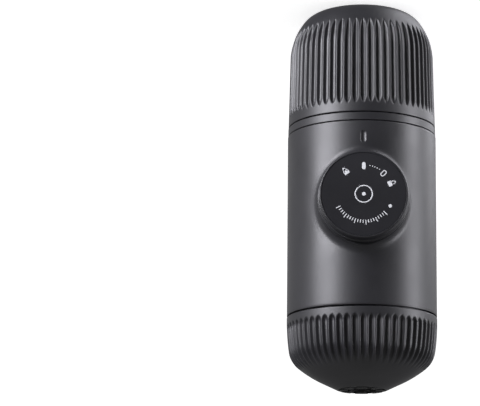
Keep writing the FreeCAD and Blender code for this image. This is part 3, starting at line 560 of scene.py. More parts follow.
def rows(r, low, high, step):
    """Points up a straight wall."""
    count = max(1, round(abs(high - low) / step))
    return [(r, low + (high - low) * i / count) for i in range(count + 1)]


def pitch_share(place, count):
    """How far a place is from the nearest flute's middle, from 0 to half a pitch. One faces front."""
    at = (math.atan2(place.y, place.x) / math.tau + 0.25) * count
    return abs(at - round(at))


def flute(aside, width, floor, edge):
    """How deep a flute is at a place across it, when it has run out to a share of its width."""
    if width <= 0:
        return 0.0
    return width * ease((edge * width - aside) / ((edge - floor) * width))


def thread(low, high, pitch):
    """Returns the depth of a screw thread at a place, from 0 to 1."""
    run_out = 0.7
    half_width, flank = 0.36, 0.16      # as shares of the pitch

    def at(place):
        if not low < place.z < high:
            return 0.0
        phase = (place.z / pitch - math.atan2(place.y, place.x) / math.tau) % 1.0
        ends = min(1.0, (place.z - low) / run_out, (high - place.z) / run_out)
        return ease(ends) * ease((half_width - abs(phase - 0.5)) / flank)

    return at


# ------------------------------------------------------------------ the two fluted ends
FLUTE_STEP = 0.45       # between mesh rows where flutes start, bend or end
THREAD_STEP = 0.25      # between mesh rows across a thread
FLUTED = math.radians(50)       # edges sharper than this stay sharp on the fluted ends
NOZZLE_FLANGE = 1.6     # from the nozzle's seat to its outer face


class ESPRESSO_OT_tank(bpy.types.Operator):
    """Make the fluted water tank, with its threaded mouth"""

    bl_idname = "espresso.tank"
    bl_label = "Water tank"

    def execute(self, context):
        flutes, barrel = context.scene.espresso_flutes, context.scene.espresso_barrel
        edge, mouth = barrel.edge / MM, barrel.mouth / MM
        columns = flutes.count * flutes.columns
        rim_r, wall, seat = 30.21, 3.6, TANK_RIM_Z - 7.85
        side, side_heading, rim_zone = 29.36, 91.21, 7.2
        shoulder_r, shoulder_heading, base_r = 26.0, 126.87, 10.5
        moves = [
            (rim_zone, None, FLUTE_STEP),
            (side - rim_zone, None, 1.6),
            (shoulder_r, shoulder_heading, FLUTE_STEP),
            (base_r, 180, 0.6),
        ]
        outer, lengths = meridian(rim_r, 0, side_heading, moves)
        outline = [(r, TANK_RIM_Z - z) for r, z in outer]
        skin = lathe("water_tank_skin", outline[1:] + [(0, 0)], columns)

        start, run = 3.9, 36.4          # of the flutes, along the outline from the rim
        dome_end, rim_end = flutes.tank_end / MM, flutes.rim_end / MM
        dome_point, rim_point = 0.55, 0.5

        def depth(place):
            s = length_at(outer, lengths, TANK_RIM_Z - place.z) - start
            if not 0 < s < run:
                return 0.0
            width = min(clamp((run - s) / dome_end) ** dome_point, clamp(s / rim_end) ** rim_point)
            return flute(pitch_share(place, flutes.count), width, flutes.floor, flutes.edge)

        press(skin, flutes.depth / MM, depth)
        inner_moves = [
            (side, None, side),
            (shoulder_r - wall, shoulder_heading, 3.0),
            (base_r - wall, 180, 3.0),
        ]
        inner, _ = meridian(rim_r - wall, 0, side_heading, inner_moves)
        inner = [(r, TANK_RIM_Z - z) for r, z in inner if TANK_RIM_Z - z < seat]
        rim = [outline[1]] + quarter(rim_r, TANK_RIM_Z, edge) + [(mouth + edge, TANK_RIM_Z)]
        grooved = rows(mouth, TANK_RIM_Z - edge, seat, THREAD_STEP)
        room = [(rim_r - wall, seat)] + inner + [(0, inner[-1][1])]
        lining = lathe("lining", rim + grooved + room, columns, inside=True)
        groove = thread(seat + 2.2, TANK_RIM_Z - 0.8, barrel.thread_pitch / MM)
        press(lining, barrel.thread_depth / MM, groove)
        tank = joined(skin, lining)
        smooth(tank, FLUTED)
        finished(tank, "tank", "charcoal", "water_tank")
        return {"FINISHED"}


class ESPRESSO_OT_portafilter(bpy.types.Operator):
    """Make the fluted portafilter with its cone, mouth and pocket for the nozzle"""

    bl_idname = "espresso.portafilter"
    bl_label = "Portafilter"

    def execute(self, context):
        flutes, barrel = context.scene.espresso_flutes, context.scene.espresso_barrel
        edge, mouth = barrel.edge / MM, barrel.mouth / MM
        columns = flutes.count * flutes.columns
        rim_r, rim_heading = 30.5, 90.5
        moves = [
            (2.45, None, FLUTE_STEP),       # rim
            (82.9, 98.3, FLUTE_STEP),       # side
            (9.93, 141.3, FLUTE_STEP),      # shoulder
            (49.3, 154.4, FLUTE_STEP),      # where the flutes fade
            (6.8, None, 2.3),               # cone
            (0.8, 180, FLUTE_STEP),         # edge of the tip
        ]
        outer, lengths = meridian(rim_r, 0, rim_heading, moves)
        outline = [(r, HEAD_Z + z) for r, z in outer]
        tip = outline[-1][1]
        pocket_r = reach("nozzle")[1].x + 0.05
        skin = lathe("portafilter_skin", outline[1:] + [(pocket_r, tip)], columns)

        start, stop = 3.1, length_at(outer, lengths, 22.2)
        begin, fade = flutes.head_start / MM, flutes.head_fade / MM

        def depth(place):
            s = length_at(outer, lengths, place.z - HEAD_Z)
            if not start < s < stop:
                return 0.0
            near = clamp((s - start) / begin)
            far = ease((stop - s) / fade)
            width = math.sqrt(1 - (1 - near) ** 2) * (0.5 + 0.5 * far)
            return far * flute(pitch_share(place, flutes.count), width, flutes.floor, flutes.edge)

        press(skin, flutes.depth / MM, depth)
        gasket_z = reach("brew_gasket")[1].z
        seal_high = reach("portafilter_seal")[1].z
        basket_end = reach("filter_basket")[1].z
        nozzle_low, flange_z = reach("nozzle")[0].z, NOZZLE_Z - NOZZLE_FLANGE
        land = gasket_z + 0.35
        seal_r, cavity_r, stem_r = 23.75, 21.4, 6.8
        rim = [(r, 2 * HEAD_Z - z) for r, z in quarter(rim_r, HEAD_Z, edge)]
        rim = [outline[1]] + rim + [(mouth + edge, HEAD_Z)]
        grooved = rows(mouth, HEAD_Z + edge, land, THREAD_STEP)
        room = [
            (seal_r, land),
            (seal_r, seal_high),
            (cavity_r, seal_high),
            (cavity_r, basket_end + 0.8),
            (stem_r, nozzle_low),
            (stem_r, flange_z),
            (pocket_r, flange_z),
            (pocket_r, tip),
        ]
        lining = lathe("lining", rim + grooved + room, columns, inside=True)
        groove = thread(HEAD_Z + 0.8, gasket_z - 1.0, barrel.thread_pitch / MM)
        press(lining, barrel.thread_depth / MM, groove)
        head = joined(skin, lining)
        smooth(head, FLUTED)
        finished(head, "portafilter_body", "charcoal", "portafilter")
        return {"FINISHED"}


# ------------------------------------------------------------------ barrel
FLARE_ROWS, BARREL_ROWS, BORE_ROWS, WELL_ROWS = 18, 22, 8, 4
BOSS_DEPTH = 12.2       # from the boss's lip to its inner end
BOSS_TAIL_WALL = 1.9


def front_edge(low, high, side_count, end_count):
    """(angle, height) places round the barrel's unrolled front half.

    They go up the +X side, back along the top, down the -X side and along the bottom.
    """
    left, right = math.pi / 2, -math.pi / 2
    corners = [(left, low), (left, high), (right, high), (right, low), (left, low)]
    edge = []
    for k, count in enumerate((side_count, end_count, side_count, end_count)):
        (angle, height), (next_angle, next_height) = corners[k:k + 2]
        for i in range(count):
            at = angle + (next_angle - angle) * i / count
            edge.append((at, height + (next_height - height) * i / count))
    return edge


def flared(across, up, barrel_r, boss_r, flare, lip):
    """Points from the boss's lip down its wall and round the flare to the barrel, on one bearing.

    The flare is rolled by a ball that touches the boss's wall and the barrel.
    """
    ball_r = boss_r + flare
    ball_y = -math.sqrt((barrel_r + flare) ** 2 - (ball_r * across) ** 2)
    ball = Vector((ball_r * across, ball_y, ball_r * up))
    to_barrel = -Vector((ball.x, ball.y, 0)).normalized()
    to_boss = -Vector((across, 0, up))
    bend = to_boss.angle(to_barrel)
    straight = max(0.0, lip + ball.y)
    sideways = (to_barrel - to_boss * to_boss.dot(to_barrel)).normalized()
    trimmed = 0.0 if straight else math.asin(clamp((-lip - ball.y) / flare / sideways.y))
    total = straight + flare * (bend - trimmed)
    points = []
    for i in range(FLARE_ROWS + 1):
        s = total * i / FLARE_ROWS
        if s < straight:
            points.append(Vector((boss_r * across, -lip + s, boss_r * up + KNOB_Z)))
        else:
            at = trimmed + (s - straight) / flare
            point = ball + (to_boss * math.cos(at) + sideways * math.sin(at)) * flare
            points.append(point + Vector((0, 0, KNOB_Z)))
    return points


def round_wall(r, start, end, shares):
    """Points on an upright wall, at shares of the way from one (angle, height) to another."""
    points = []
    for t in shares:
        angle, height = (a + (b - a) * t for a, b in zip(start, end))
        points.append(Vector((r * math.sin(angle), -r * math.cos(angle), height + KNOB_Z)))
    return points


def barrel_lines(barrel, side_count, end_count):
    """Lines across the barrel's front half, fanned out from the knob's axis.

    Each runs from the bore's edge in to the boss's well, round its lip and out to the barrel's edge.
    """
    radius, wall, flare = barrel.radius / MM, barrel.wall / MM, barrel.flare / MM
    well_r = KNOB_SKIRT_R + barrel.boss_gap / MM
    boss_r = well_r + barrel.boss_wall / MM
    lip = barrel.boss_lip / MM
    bore, tail = radius - wall, lip - BOSS_DEPTH
    tail_r = well_r + BOSS_TAIL_WALL
    lines = []
    for edge in front_edge(SHELL_LOW - KNOB_Z, SHELL_HIGH - KNOB_Z, side_count, end_count):
        angle, height = edge
        out = math.atan2(height, radius * angle)
        across, up = math.cos(out), math.sin(out)
        boss = flared(across, up, radius, boss_r, flare, lip)
        foot = (math.atan2(boss[-1].x, -boss[-1].y), boss[-1].z - KNOB_Z)
        front = round_wall(radius, foot, edge, [i / BARREL_ROWS for i in range(1, BARREL_ROWS + 1)])
        meet_y = -math.sqrt(bore * bore - (tail_r * across) ** 2)
        meet = (math.asin(tail_r * across / bore), tail_r * up)
        inside = round_wall(bore, meet, edge, [1 - i / BORE_ROWS for i in range(BORE_ROWS)])
        well = [
            Vector((tail_r * across, min(meet_y, -tail - 0.05), tail_r * up + KNOB_Z)),
            Vector((tail_r * across, -tail, tail_r * up + KNOB_Z)),
        ]
        for i in range(WELL_ROWS + 1):
            reach_y = tail + (lip - tail) * i / WELL_ROWS
            well.append(Vector((well_r * across, -reach_y, well_r * up + KNOB_Z)))
        lines.append(inside + well + boss + front)
    return lines


def index_cutter(barrel):
    """A round bar with ball ends that takes the index mark's trough out of the barrel."""
    width, long, depth = barrel.index_width / MM, barrel.index_length / MM, barrel.index_depth / MM
    bar_r = (width * width / 4 + depth * depth) / (2 * depth)
    straight = (long - width) / 2
    count = 12
    dome = []
    for i in range(count + 1):
        at = math.radians(90 * i / count)
        dome.append((bar_r * math.cos(at), straight + bar_r * math.sin(at)))
    lower = [(r, -z) for r, z in reversed(dome)]
    bar = lathe("index_cutter", lower + dome, 64)
    return placed(bar, shift(0, -(barrel.radius / MM + bar_r - depth), barrel.index_z / MM))


class ESPRESSO_OT_barrel(bpy.types.Operator):
    """Make the barrel with the flared boss round the knob and the index mark below it"""

    bl_idname = "espresso.barrel"
    bl_label = "Barrel"

    def execute(self, context):
        barrel = context.scene.espresso_barrel
        lines = barrel_lines(barrel, side_count=56, end_count=84)
        count = len(lines)
        # A flat disc of rings takes the place of the lines, one column for each.
        shell = lathe("body_shell_skin", [(i + 1, 0) for i in range(len(lines[0]))], count)
        for vertex in shell.data.vertices:
            ring = round(vertex.co.length / MM) - 1
            column = round(math.atan2(vertex.co.y, vertex.co.x) / math.tau * count) % count
            vertex.co = lines[column][ring] * MM
        shell.data.update()

        # The +X edge of this front half is spun round the back, and the two ends are closed.
        edit(shell)
        select(shell, "edges", lambda place: abs(place.y) < NEAR and place.x > 0)
        bpy.ops.mesh.spin(steps=110, angle=-math.pi, center=(0, 0, 0), axis=(0, 0, 1))
        closed()
        for z in (SHELL_LOW, SHELL_HIGH):
            select(shell, "edges", lambda place: abs(place.z - z) < NEAR)
            bpy.ops.mesh.bridge_edge_loops()
        closed()
        done()
        rounded(shell, barrel.edge / MM * 0.8, 2, math.radians(40))
        cut(shell, index_cutter(barrel))
        smooth(shell)
        finished(shell, "pump_body", "charcoal", "body_shell")
        return {"FINISHED"}


# ------------------------------------------------------------------ knob and dial
KNOB_STEPS = 192        # mesh columns round the knob and its dial


class ESPRESSO_OT_knob(bpy.types.Operator):
    """Make the knob and the dial disc in its face"""

    bl_idname = "espresso.knob"
    bl_label = "Knob and dial"

    def execute(self, context):
        wall, rim_r, skirt_r = 1.8, 17.6, KNOB_SKIRT_R
        clip_r, clip_depth = 4.75, 1.0
        hub_r, hub_depth, journal_r = 6.2, 7.0, 2.45
        collar_low, collar_high, collar_proud = KNOB_FACE - 7.5, KNOB_FACE - 5.05, 0.5
        inner, well_r, floor = KNOB_R - wall, DIAL_R + 0.05, KNOB_FACE - 1.0
        under = floor - wall
        cap = turned(
            "knob_cap_skin",
            [
                (inner, KNOB_TAIL),
                (skirt_r, KNOB_TAIL),
                (skirt_r, collar_low),
                (skirt_r + collar_proud, collar_low + 0.3),
                (skirt_r + collar_proud, collar_high - 0.55),
                (skirt_r + collar_proud - 0.07, collar_high - 0.3),
                (skirt_r + collar_proud / 2, collar_high - 0.1),
                (skirt_r, collar_high),
                (skirt_r + 0.02, KNOB_FACE - 0.8),
                (rim_r, KNOB_FACE - 0.32),
                (rim_r - 0.14, KNOB_FACE - 0.1),
                (rim_r - 0.36, KNOB_FACE),
                (well_r, KNOB_FACE),
                (well_r, floor),
                (clip_r, floor),
                (clip_r, floor - clip_depth),
                (journal_r, floor - clip_depth),
                (journal_r, under - hub_depth),
                (hub_r, under - hub_depth),
                (hub_r, under),
                (inner, under),
            ],
            KNOB_STEPS,
        )
        rounded(cap, 0.08, 2)
        smooth(cap)
        placed(cap, TO_FRONT)
        finished(cap, "knob", "charcoal", "knob_cap")

        dial = turned(
            "dial_disc_skin",
            [
                (0, floor),
                (DIAL_R, floor),
                (DIAL_R, DIAL_FACE - 0.12),
                (DIAL_R - 0.12, DIAL_FACE),
                (DIAL_R - 1.0, DIAL_FACE),
                (0, DIAL_FACE),
            ],
            KNOB_STEPS,
        )
        smooth(dial, math.radians(20))
        placed(dial, TO_FRONT)
        finished(dial, "knob", "dial", "dial_disc")
        return {"FINISHED"}


# ------------------------------------------------------------------ screw threads, screen and basket
RIDGE_STEPS = 96        # mesh steps in one turn of a thread
RUN_OUT_STEPS = 10      # over which a ridge rises at either end


def thread_ridge(name, skirt_r, height, pitch, turn_number, turns):
    """The ridge of an outside thread. It starts at +X and fills the grooves that thread() gives."""
    steps = round(RIDGE_STEPS * turns)
    low_r, high_r, foot, crest = skirt_r - 0.1, skirt_r + height, 0.32 * pitch, 0.12 * pitch
    middle = pitch * (turn_number + 0.5)
    section = [
        (low_r, middle - foot),
        (high_r, middle - crest),
        (high_r, middle + crest),
        (low_r, middle + foot),
    ]
    bpy.ops.mesh.primitive_circle_add(vertices=len(section), radius=MM)
    ridge = named(name)
    for vertex, (r, z) in zip(ridge.data.vertices, section):
        vertex.co = Vector((r, 0, z)) * MM
    sweep = {"angle": math.tau * turns, "screw_offset": pitch * turns * MM}
    apply(ridge, "SCREW", steps=steps, render_steps=steps, use_merge_vertices=False, **sweep)
    for index, vertex in enumerate(ridge.data.vertices):
        step = index // len(section)
        faded = ease((min(step, steps - step) + 1) / RUN_OUT_STEPS)
        flat = Vector((vertex.co.x, vertex.co.y))
        if flat.length > low_r * MM:
            flat *= (low_r * MM + (flat.length - low_r * MM) * faded) / flat.length
            vertex.co.x, vertex.co.y = flat
    bpy.ops.object.mode_set(mode="EDIT")
    bpy.ops.mesh.select_all(action="SELECT")
    bpy.ops.mesh.fill_holes(sides=len(section))
    closed()
    done()
    smooth(ridge, math.radians(25))
    return ridge


def perforated(sheet, hole_r, low, high, first, last, spacing):
    """Cuts rings of fine holes through a level sheet, from the first ring's radius to the last one's."""
    sides, bearing = 8, 7
    rings = max(1, round((last - first) / spacing))
    for ring in range(rings + 1):
        ring_r = first + (last - first) * ring / rings
        count = round(math.tau * ring_r / spacing)
        hole = turned("drills", [(0, low), (hole_r, low), (hole_r, high), (0, high)], sides)
        placed(hole, turn(bearing + 180 * (ring % 2) / count, "Z") @ shift(x=ring_r))
        bpy.ops.object.mode_set(mode="EDIT")
        bpy.ops.mesh.select_all(action="SELECT")
        last_turn = math.tau * (count - 1) / count
        bpy.ops.mesh.spin(steps=count - 1, dupli=True, angle=last_turn, center=(0, 0, 0), axis=(0, 0, 1))
        done()
        cut(sheet, hole)
    return sheet


def cross_recess(width, depth, top):
    """The two bars that cut a cross recess in a screw's head, from its top down."""
    arm = width * 0.26
    bars = []
    for angle in (0, 90):
        bpy.ops.mesh.primitive_cube_add(size=MM)
        bar = placed(named("recess"), Matrix.Diagonal((width, arm, depth * 2, 1)))
        bars.append(placed(bar, shift(z=top) @ turn(angle, "Z")))
    return bars


def pan_screw(name, head_r, head, shank_r, shank):
    """A pan head screw with a cross recess. It stands on Z = 0 with its threaded shank below."""
    core_r, pitch, neck = shank_r * 0.85, 0.8, 0.8
    start = -shank + shank_r
    outline = [(0, -shank), (shank_r * 0.5, -shank), (core_r, start)]
    for i in range(int((shank - shank_r - 1) / pitch)):
        z = start + i * pitch
        outline += [(core_r, z + 0.1), (shank_r, z + pitch * 0.5), (core_r, z + pitch * 0.9)]
    side = 0.45         # the upright part of the head, as a share of it
    outline += [(shank_r, -neck), (shank_r, 0), (head_r, 0), (head_r, head * side)]
    for degrees in (25, 50, 75):
        at = math.radians(degrees)
        outline.append((head_r * (0.55 + 0.45 * math.cos(at)), head * (side + (1 - side) * math.sin(at))))
    outline.append((0, head))
    screw = lathe(name, outline, 32)
    for bar in cross_recess(head_r * 1.15, head * 0.6, head):
        cut(screw, bar)
    smooth(screw)
    return screw


class ESPRESSO_OT_threads(bpy.types.Operator):
    """Make the outside threads on the tank collar and the brew head"""

    bl_idname = "espresso.threads"
    bl_label = "Screw threads"

    def execute(self, context):
        barrel = context.scene.espresso_barrel
        pitch, height = barrel.thread_pitch / MM, barrel.thread_depth / MM * 0.75
        skirt_r, turns = 27.25, 1.25
        for name, low, slot in (
            ("collar_thread", COLLAR_END + 1.4, "charcoal"),
            ("brew_head_thread", HEAD_Z + 1.2, "inner_plastic"),
        ):
            turn_number = math.ceil(low / pitch - 0.5)
            ridge = thread_ridge(name, skirt_r, height, pitch, turn_number, turns)
            finished(ridge, "pump_body", slot)
        return {"FINISHED"}


class ESPRESSO_OT_screen(bpy.types.Operator):
    """Make the perforated shower screen, its screw and the collar's screws"""

    bl_idname = "espresso.screen"
    bl_label = "Shower screen and screws"

    def execute(self, context):
        low, high = (corner.z for corner in reach("shower_screen"))
        rim_r, eye_r = reach("shower_screen")[1].x, 1.6
        outline = [(eye_r, low), (rim_r, low), (rim_r, high), (eye_r, high)]
        screen = turned("shower_screen_disc", outline, 96)
        perforated(screen, 0.42, low - 1, high + 1, first=4.2, last=rim_r - 1.6, spacing=1.75)
        rounded(screen, 0.08, 1, math.radians(60))
        smooth(screen)
        finished(screen, "pump_body", "steel", "shower_screen")

        head = 1.1
        low, high = reach("shower_screw")
        screw = pan_screw("shower_screw_cross", high.x, head, 1.5, high.z - head - low.z)
        placed(screw, shift(z=high.z - head))
        finished(screw, "pump_body", "steel", "shower_screw")

        head_r = 2.4
        low, high = reach("collar_screws")
        aside, y = high.x - head_r, 0.8
        screw = pan_screw("collar_screws_cross", head_r, head, 1.25, high.z - low.z - head)
        placed(screw, shift(aside, y, low.z + head) @ turn(180, "X"))
        other = copied(screw, "collar_screw", shift(x=-2 * aside))
        take(other, screw)
        bpy.ops.object.join()
        finished(screw, "pump_body", "steel", "collar_screws")
        return {"FINISHED"}


class ESPRESSO_OT_basket(bpy.types.Operator):
    """Make the pressed filter basket with its fine floor"""

    bl_idname = "espresso.basket"
    bl_label = "Filter basket"

    def execute(self, context):
        low, high = (corner.z for corner in reach("filter_basket"))
        rim_r, sheet, cup_r = reach("filter_basket")[1].x, 0.6, 19.8
        inner_r, rim = cup_r - sheet, 0.8
        basket = turned(
            "filter_basket_cup",
            [
                (inner_r, low),
                (rim_r - 0.3, low),
                (rim_r, low + 0.25),
                (rim_r, low + rim - 0.25),
                (rim_r - 0.3, low + rim),
                (cup_r + 0.4, low + rim),
                (cup_r, low + rim + 0.4),
                (cup_r - 0.3, high - 1.6),
                (cup_r - 0.7, high - 0.5),
                (cup_r - 1.7, high),
                (0, high),
                (0, high - sheet),
                (cup_r - 1.9, high - sheet),
                (inner_r - 0.6, high - 1.1),
                (inner_r - 0.2, high - 2.0),
                (inner_r, low + 1.0),
            ],
            128,
        )
        perforated(basket, 0.3, high - 2 * sheet, high + 1, first=1.8, last=cup_r - 3.0, spacing=1.8)
        smooth(basket)
        finished(basket, "basket", "steel", "filter_basket")
        return {"FINISHED"}


# ------------------------------------------------------------------ nozzle
class ESPRESSO_OT_nozzle(bpy.types.Operator):
    """Make the notched nozzle in the portafilter's tip"""

    bl_idname = "espresso.nozzle"
    bl_label = "Nozzle"

    def execute(self, context):
        low, high = (corner.z for corner in reach("nozzle"))
        rim_r, seat = reach("nozzle")[1].x, NOZZLE_Z - NOZZLE_FLANGE
        stem_r, spout_r, recess_r, chamber_r = 6.75, 1.5, 5.8, 3.2
        groove_r, groove = stem_r - 1.35, seat - 1.4
        recess, chamber = high - 1.4, reach("brew_valve_spring")[1].z
        dimple = recess + 0.55
        nozzle = turned(
            "nozzle_skin",
            [
                (spout_r, low),
                (stem_r, low),
                (stem_r, groove),
                (groove_r, groove),
                (groove_r, seat),
                (rim_r, seat),
                (rim_r, high),
                (recess_r, high),
                (recess_r - 0.2, recess),
                (spout_r + 1.4, recess),
                (spout_r + 0.9, dimple),
                (spout_r, dimple),
                (spout_r, chamber),
                (chamber_r, chamber),
                (chamber_r, low + 1.1),
                (spout_r, low + 1.1),
            ],
            96,
        )
        count, middle_r, size = 8, 7.9, (5.6, 2.2, 1.8)
        notches = []
        for i in range(count):
            bpy.ops.mesh.primitive_cube_add(size=MM)
            notch = placed(named("notch"), shift(x=middle_r) @ Matrix.Diagonal((*size, 1)))
            rounded(notch, 0.35, 3)
            notches.append(placed(notch, shift(z=high) @ turn((i + 0.5) * 360 / count, "Z")))
        cut(nozzle, *notches)
        rounded(nozzle, 0.14, 2, math.radians(50))
        smooth(nozzle)
        finished(nozzle, "portafilter_body", "nozzle_plastic", "nozzle")
        return {"FINISHED"}


# ------------------------------------------------------------------ printed marks
def pill(name, width, length, height):
    """A flat mark with round ends, long in Y, from Z = 0 up."""
    bpy.ops.mesh.primitive_circle_add(vertices=32, radius=width / 2 * MM, fill_type="NGON")
    mark = named(name)
    straight = (length - width) / 2
    edit(mark)
    for side in (1, -1):
        select(mark, "vertices", lambda place: place.y * side > NEAR)
        bpy.ops.transform.translate(value=Vector((0, side * straight, 0)) * MM)
    raised(height)
    return mark


def raised(height):
    """In edit mode: raises a flat outline to a solid, and leaves edit mode."""
    bpy.ops.mesh.select_all(action="SELECT")
    bpy.ops.mesh.extrude_region_move(TRANSFORM_OT_translate={"value": (0, 0, height * MM)})
    closed()
    done()


def hoop(name, outer, line, height, steps=64):
    """A flat ring."""
    inner = outer - line
    return turned(name, [(inner, 0), (outer, 0), (outer, height), (inner, height)], steps)


def stadium(name, width, length, line, height):
    """The outline of a flat mark with round ends."""
    mark = pill(name, width, length, height)
    hole = placed(pill("hole", width - 2 * line, length - 2 * line, height * 3), shift(z=-height))
    cut(mark, hole)
    return mark


def padlock(name, width, line, height, opened):
    """A small padlock: a rounded body and a shackle, which has one foot lifted clear when it is open."""
    body_height, shackle_r, corner_r = width * 0.72, width * 0.36, line * 0.6
    leg_top, leg_foot = line * 2.4, -line * 1.5
    gap = line * (2.0 if opened else 1.1)
    bpy.ops.mesh.primitive_plane_add(size=MM)
    body = placed(named(name), Matrix.Diagonal((width, body_height, 1, 1)))
    edit(body)
    bpy.ops.mesh.select_all(action="SELECT")
    bpy.ops.mesh.bevel(offset=corner_r * MM, segments=3, affect="VERTICES")
    raised(height)
    shackle = hoop("shackle", shackle_r, line, height, 32)
    edit(shackle)
    select(shackle, "vertices", lambda place: place.y < -NEAR)
    bpy.ops.mesh.delete(type="VERT")
    bpy.ops.mesh.select_all(action="SELECT")
    bpy.ops.mesh.fill_holes(sides=4)
    done()
    legs = []
    for side in (-1, 1):
        foot = 0.0 if opened and side > 0 else leg_foot
        leg = pill("leg", line, leg_top - foot, height)
        legs.append(placed(leg, shift(side * (shackle_r - line / 2), foot / 2)))
    for part in [shackle] + legs:
        placed(part, shift(y=body_height / 2 + gap))
    take(shackle, *legs, body)
    bpy.ops.object.join()
    return body


def on_dial(mark, radius, bearing, height=0.0):
    """Puts a flat mark on the dial. A bearing of 0 points to the tank and 90 to -X."""
    return placed(mark, TO_FRONT @ turn(180 - bearing, "Z") @ shift(y=radius, z=DIAL_FACE - height))


class ESPRESSO_OT_marks(bpy.types.Operator):
    """Print the pointer, the dots, the zero, the padlocks and the scale on the dial"""

    bl_idname = "espresso.marks"
    bl_label = "Dial marks"

    def execute(self, context):
        printed = context.scene.espresso_marks
        ring, stroke = printed.radius / MM, printed.stroke / MM
        sunk = 0.05
        height = sunk + printed.height / MM
        # Widths and lengths. The dots are a hair longer than wide.
        pointer, zero, dot = (1.45, 2.95), (1.75, 2.85), (stroke, stroke * 1.001)
        round_dot, press_dot = (1.35, 1.351), (1.5, 1.501)
        lock, press_ring_r = 2.2, 3.6
        long_tick, short_tick, scale_start, tick_angle = 2.0, 1.3, 132, 5.5
        marks = []

        def put(mark, radius, bearing):
            marks.append(on_dial(mark, radius, bearing, sunk))

        put(pill("dial_marks", *pointer, height), ring, 0)
        for bearing in (12.1, 17, 21.8, 26.7, 31.5):
            put(pill("dot", *dot, height), ring + 0.35, bearing)
        put(stadium("zero", *zero, stroke * 0.88, height), ring, 43)
        put(padlock("open_lock", lock, stroke, height, opened=True), ring - 0.3, 68)
        put(padlock("shut_lock", lock, stroke, height, opened=False), ring - 0.3, -38)
        put(pill("round_dot", *round_dot, height), ring, 115)
        for i in range(printed.ticks):
            tick = long_tick if i % 4 == 0 else short_tick
            mark = pill("tick", stroke * 0.8, tick, height)
            put(mark, ring - (long_tick - tick) / 2, scale_start + tick_angle * i)
        put(hoop("press_ring", press_ring_r, stroke, height), 0, 0)
        put(pill("press_dot", *press_dot, height), 0, 0)
        take(*marks[1:], marks[0])
        bpy.ops.object.join()
        finished(marks[0], "knob", "dial", look="ink")
        return {"FINISHED"}


# ------------------------------------------------------------------ studio
def aimed(place, target):
    """A matrix at a place that looks at a target, both in metres."""
    look = (Vector(target) - Vector(place)).to_track_quat("-Z", "Y")
    return Matrix.Translation(place) @ look.to_matrix().to_4x4()


class ESPRESSO_OT_studio(bpy.types.Operator):
    """Make the floor, the lamps, the surround and the camera"""

    bl_idname = "espresso.studio"
    bl_label = "Studio"

    def execute(self, context):
        studio = context.scene.espresso_studio
        context.scene.view_settings.view_transform = "Standard"
        floor_size, lamp_distance = 7, 0.9
        bpy.ops.mesh.primitive_plane_add(size=floor_size)
        floor = named("floor")
        material, sheet = new_sheet("pale_floor")
        seen = sheet.node("ShaderNodeLightPath", out="Is Camera Ray")
        clear = sheet.node("ShaderNodeBsdfTransparent")
        paper = sheet.node("ShaderNodeBsdfDiffuse", {}, {"Color": (0.8, 0.8, 0.8, 1)})
        shine = {"Color": (1, 1, 1, 1), "Strength": studio.floor_glow}
        glow = sheet.node("ShaderNodeEmission", {}, shine)
        shown = sheet.node("ShaderNodeAddShader", {}, {0: paper, 1: glow})
        sheet.surface(sheet.node("ShaderNodeMixShader", {}, {0: seen, 1: clear, 2: shown}))
        floor.data.materials.append(material)

        world = bpy.data.worlds.new("surround")
        context.scene.world = world
        world.use_nodes = True
        sheet = Sheet(world.node_tree)
        seen = sheet.node("ShaderNodeLightPath", out="Is Camera Ray")
        glossy = sheet.node("ShaderNodeLightPath", out="Is Glossy Ray")
        through = sheet.node("ShaderNodeLightPath", out="Is Transmission Ray")
        heading = sheet.node("ShaderNodeTexCoord", out="Generated")
        back = sheet.node("ShaderNodeSeparateXYZ", {}, {"Vector": heading}, out="Y")
        up = sheet.node("ShaderNodeSeparateXYZ", {}, {"Vector": heading}, out="Z")
        # The gloss mirrors a bright band behind the object, just below level, and is dim in front of it.
        below_level, band_edge, band_end, band_drop = 0.12, 0.02, 0.16, 0.85
        behind = back.clamped(-0.75, 0.1)
        aside = up + below_level
        band = 1 - (aside * aside).clamped(band_edge, band_end) * band_drop
        # The fill that lights the rest grows upwards.
        growth, growth_rise = 0.6, 0.7
        fill = up * growth + up * up * growth_rise + 1
        mirrored = behind * band * (studio.mirrored - studio.dim) + fill * studio.dim
        direct = seen + through
        level = direct + glossy * mirrored + (1 - direct - glossy) * fill * studio.surround
        background = sheet.node("ShaderNodeBackground", {}, {"Color": (1, 1, 1, 1), "Strength": level})
        sheet.surface(background, "ShaderNodeOutputWorld")

        # Each lamp has a bearing from the front, a width, and the heights of its lower and upper edge.
        for name, degrees, watts, width, low, high in (
            ("left_lamp", 56, studio.left, 0.50, -0.66, -0.02),
            ("right_lamp", -83, studio.right, 0.35, -1.60, 0.36),
            ("rim_lamp", -130, studio.rim, 0.50, -1.60, -0.15),
        ):
            at = math.radians(degrees)
            middle = (low + high) / 2
            place = (lamp_distance * math.sin(at), -lamp_distance * math.cos(at), middle)
            bpy.ops.object.light_add(type="AREA", location=place)
            lamp = named(name)
            lamp.data.shape = "RECTANGLE"
            lamp.data.size, lamp.data.size_y = width, high - low
            lamp.data.energy = watts
            lamp.data.color = (0.98, 0.975, 1.04)
            lamp.matrix_world = aimed(place, (0, 0, middle))

        bpy.ops.object.camera_add()
        camera = named("camera")
        camera.data.sensor_width = 36
        camera.data.lens = 174.75
        camera.data.clip_start, camera.data.clip_end = 0.05, 50
        camera.matrix_world = camera_place()
        context.scene.camera = camera
        return {"FINISHED"}


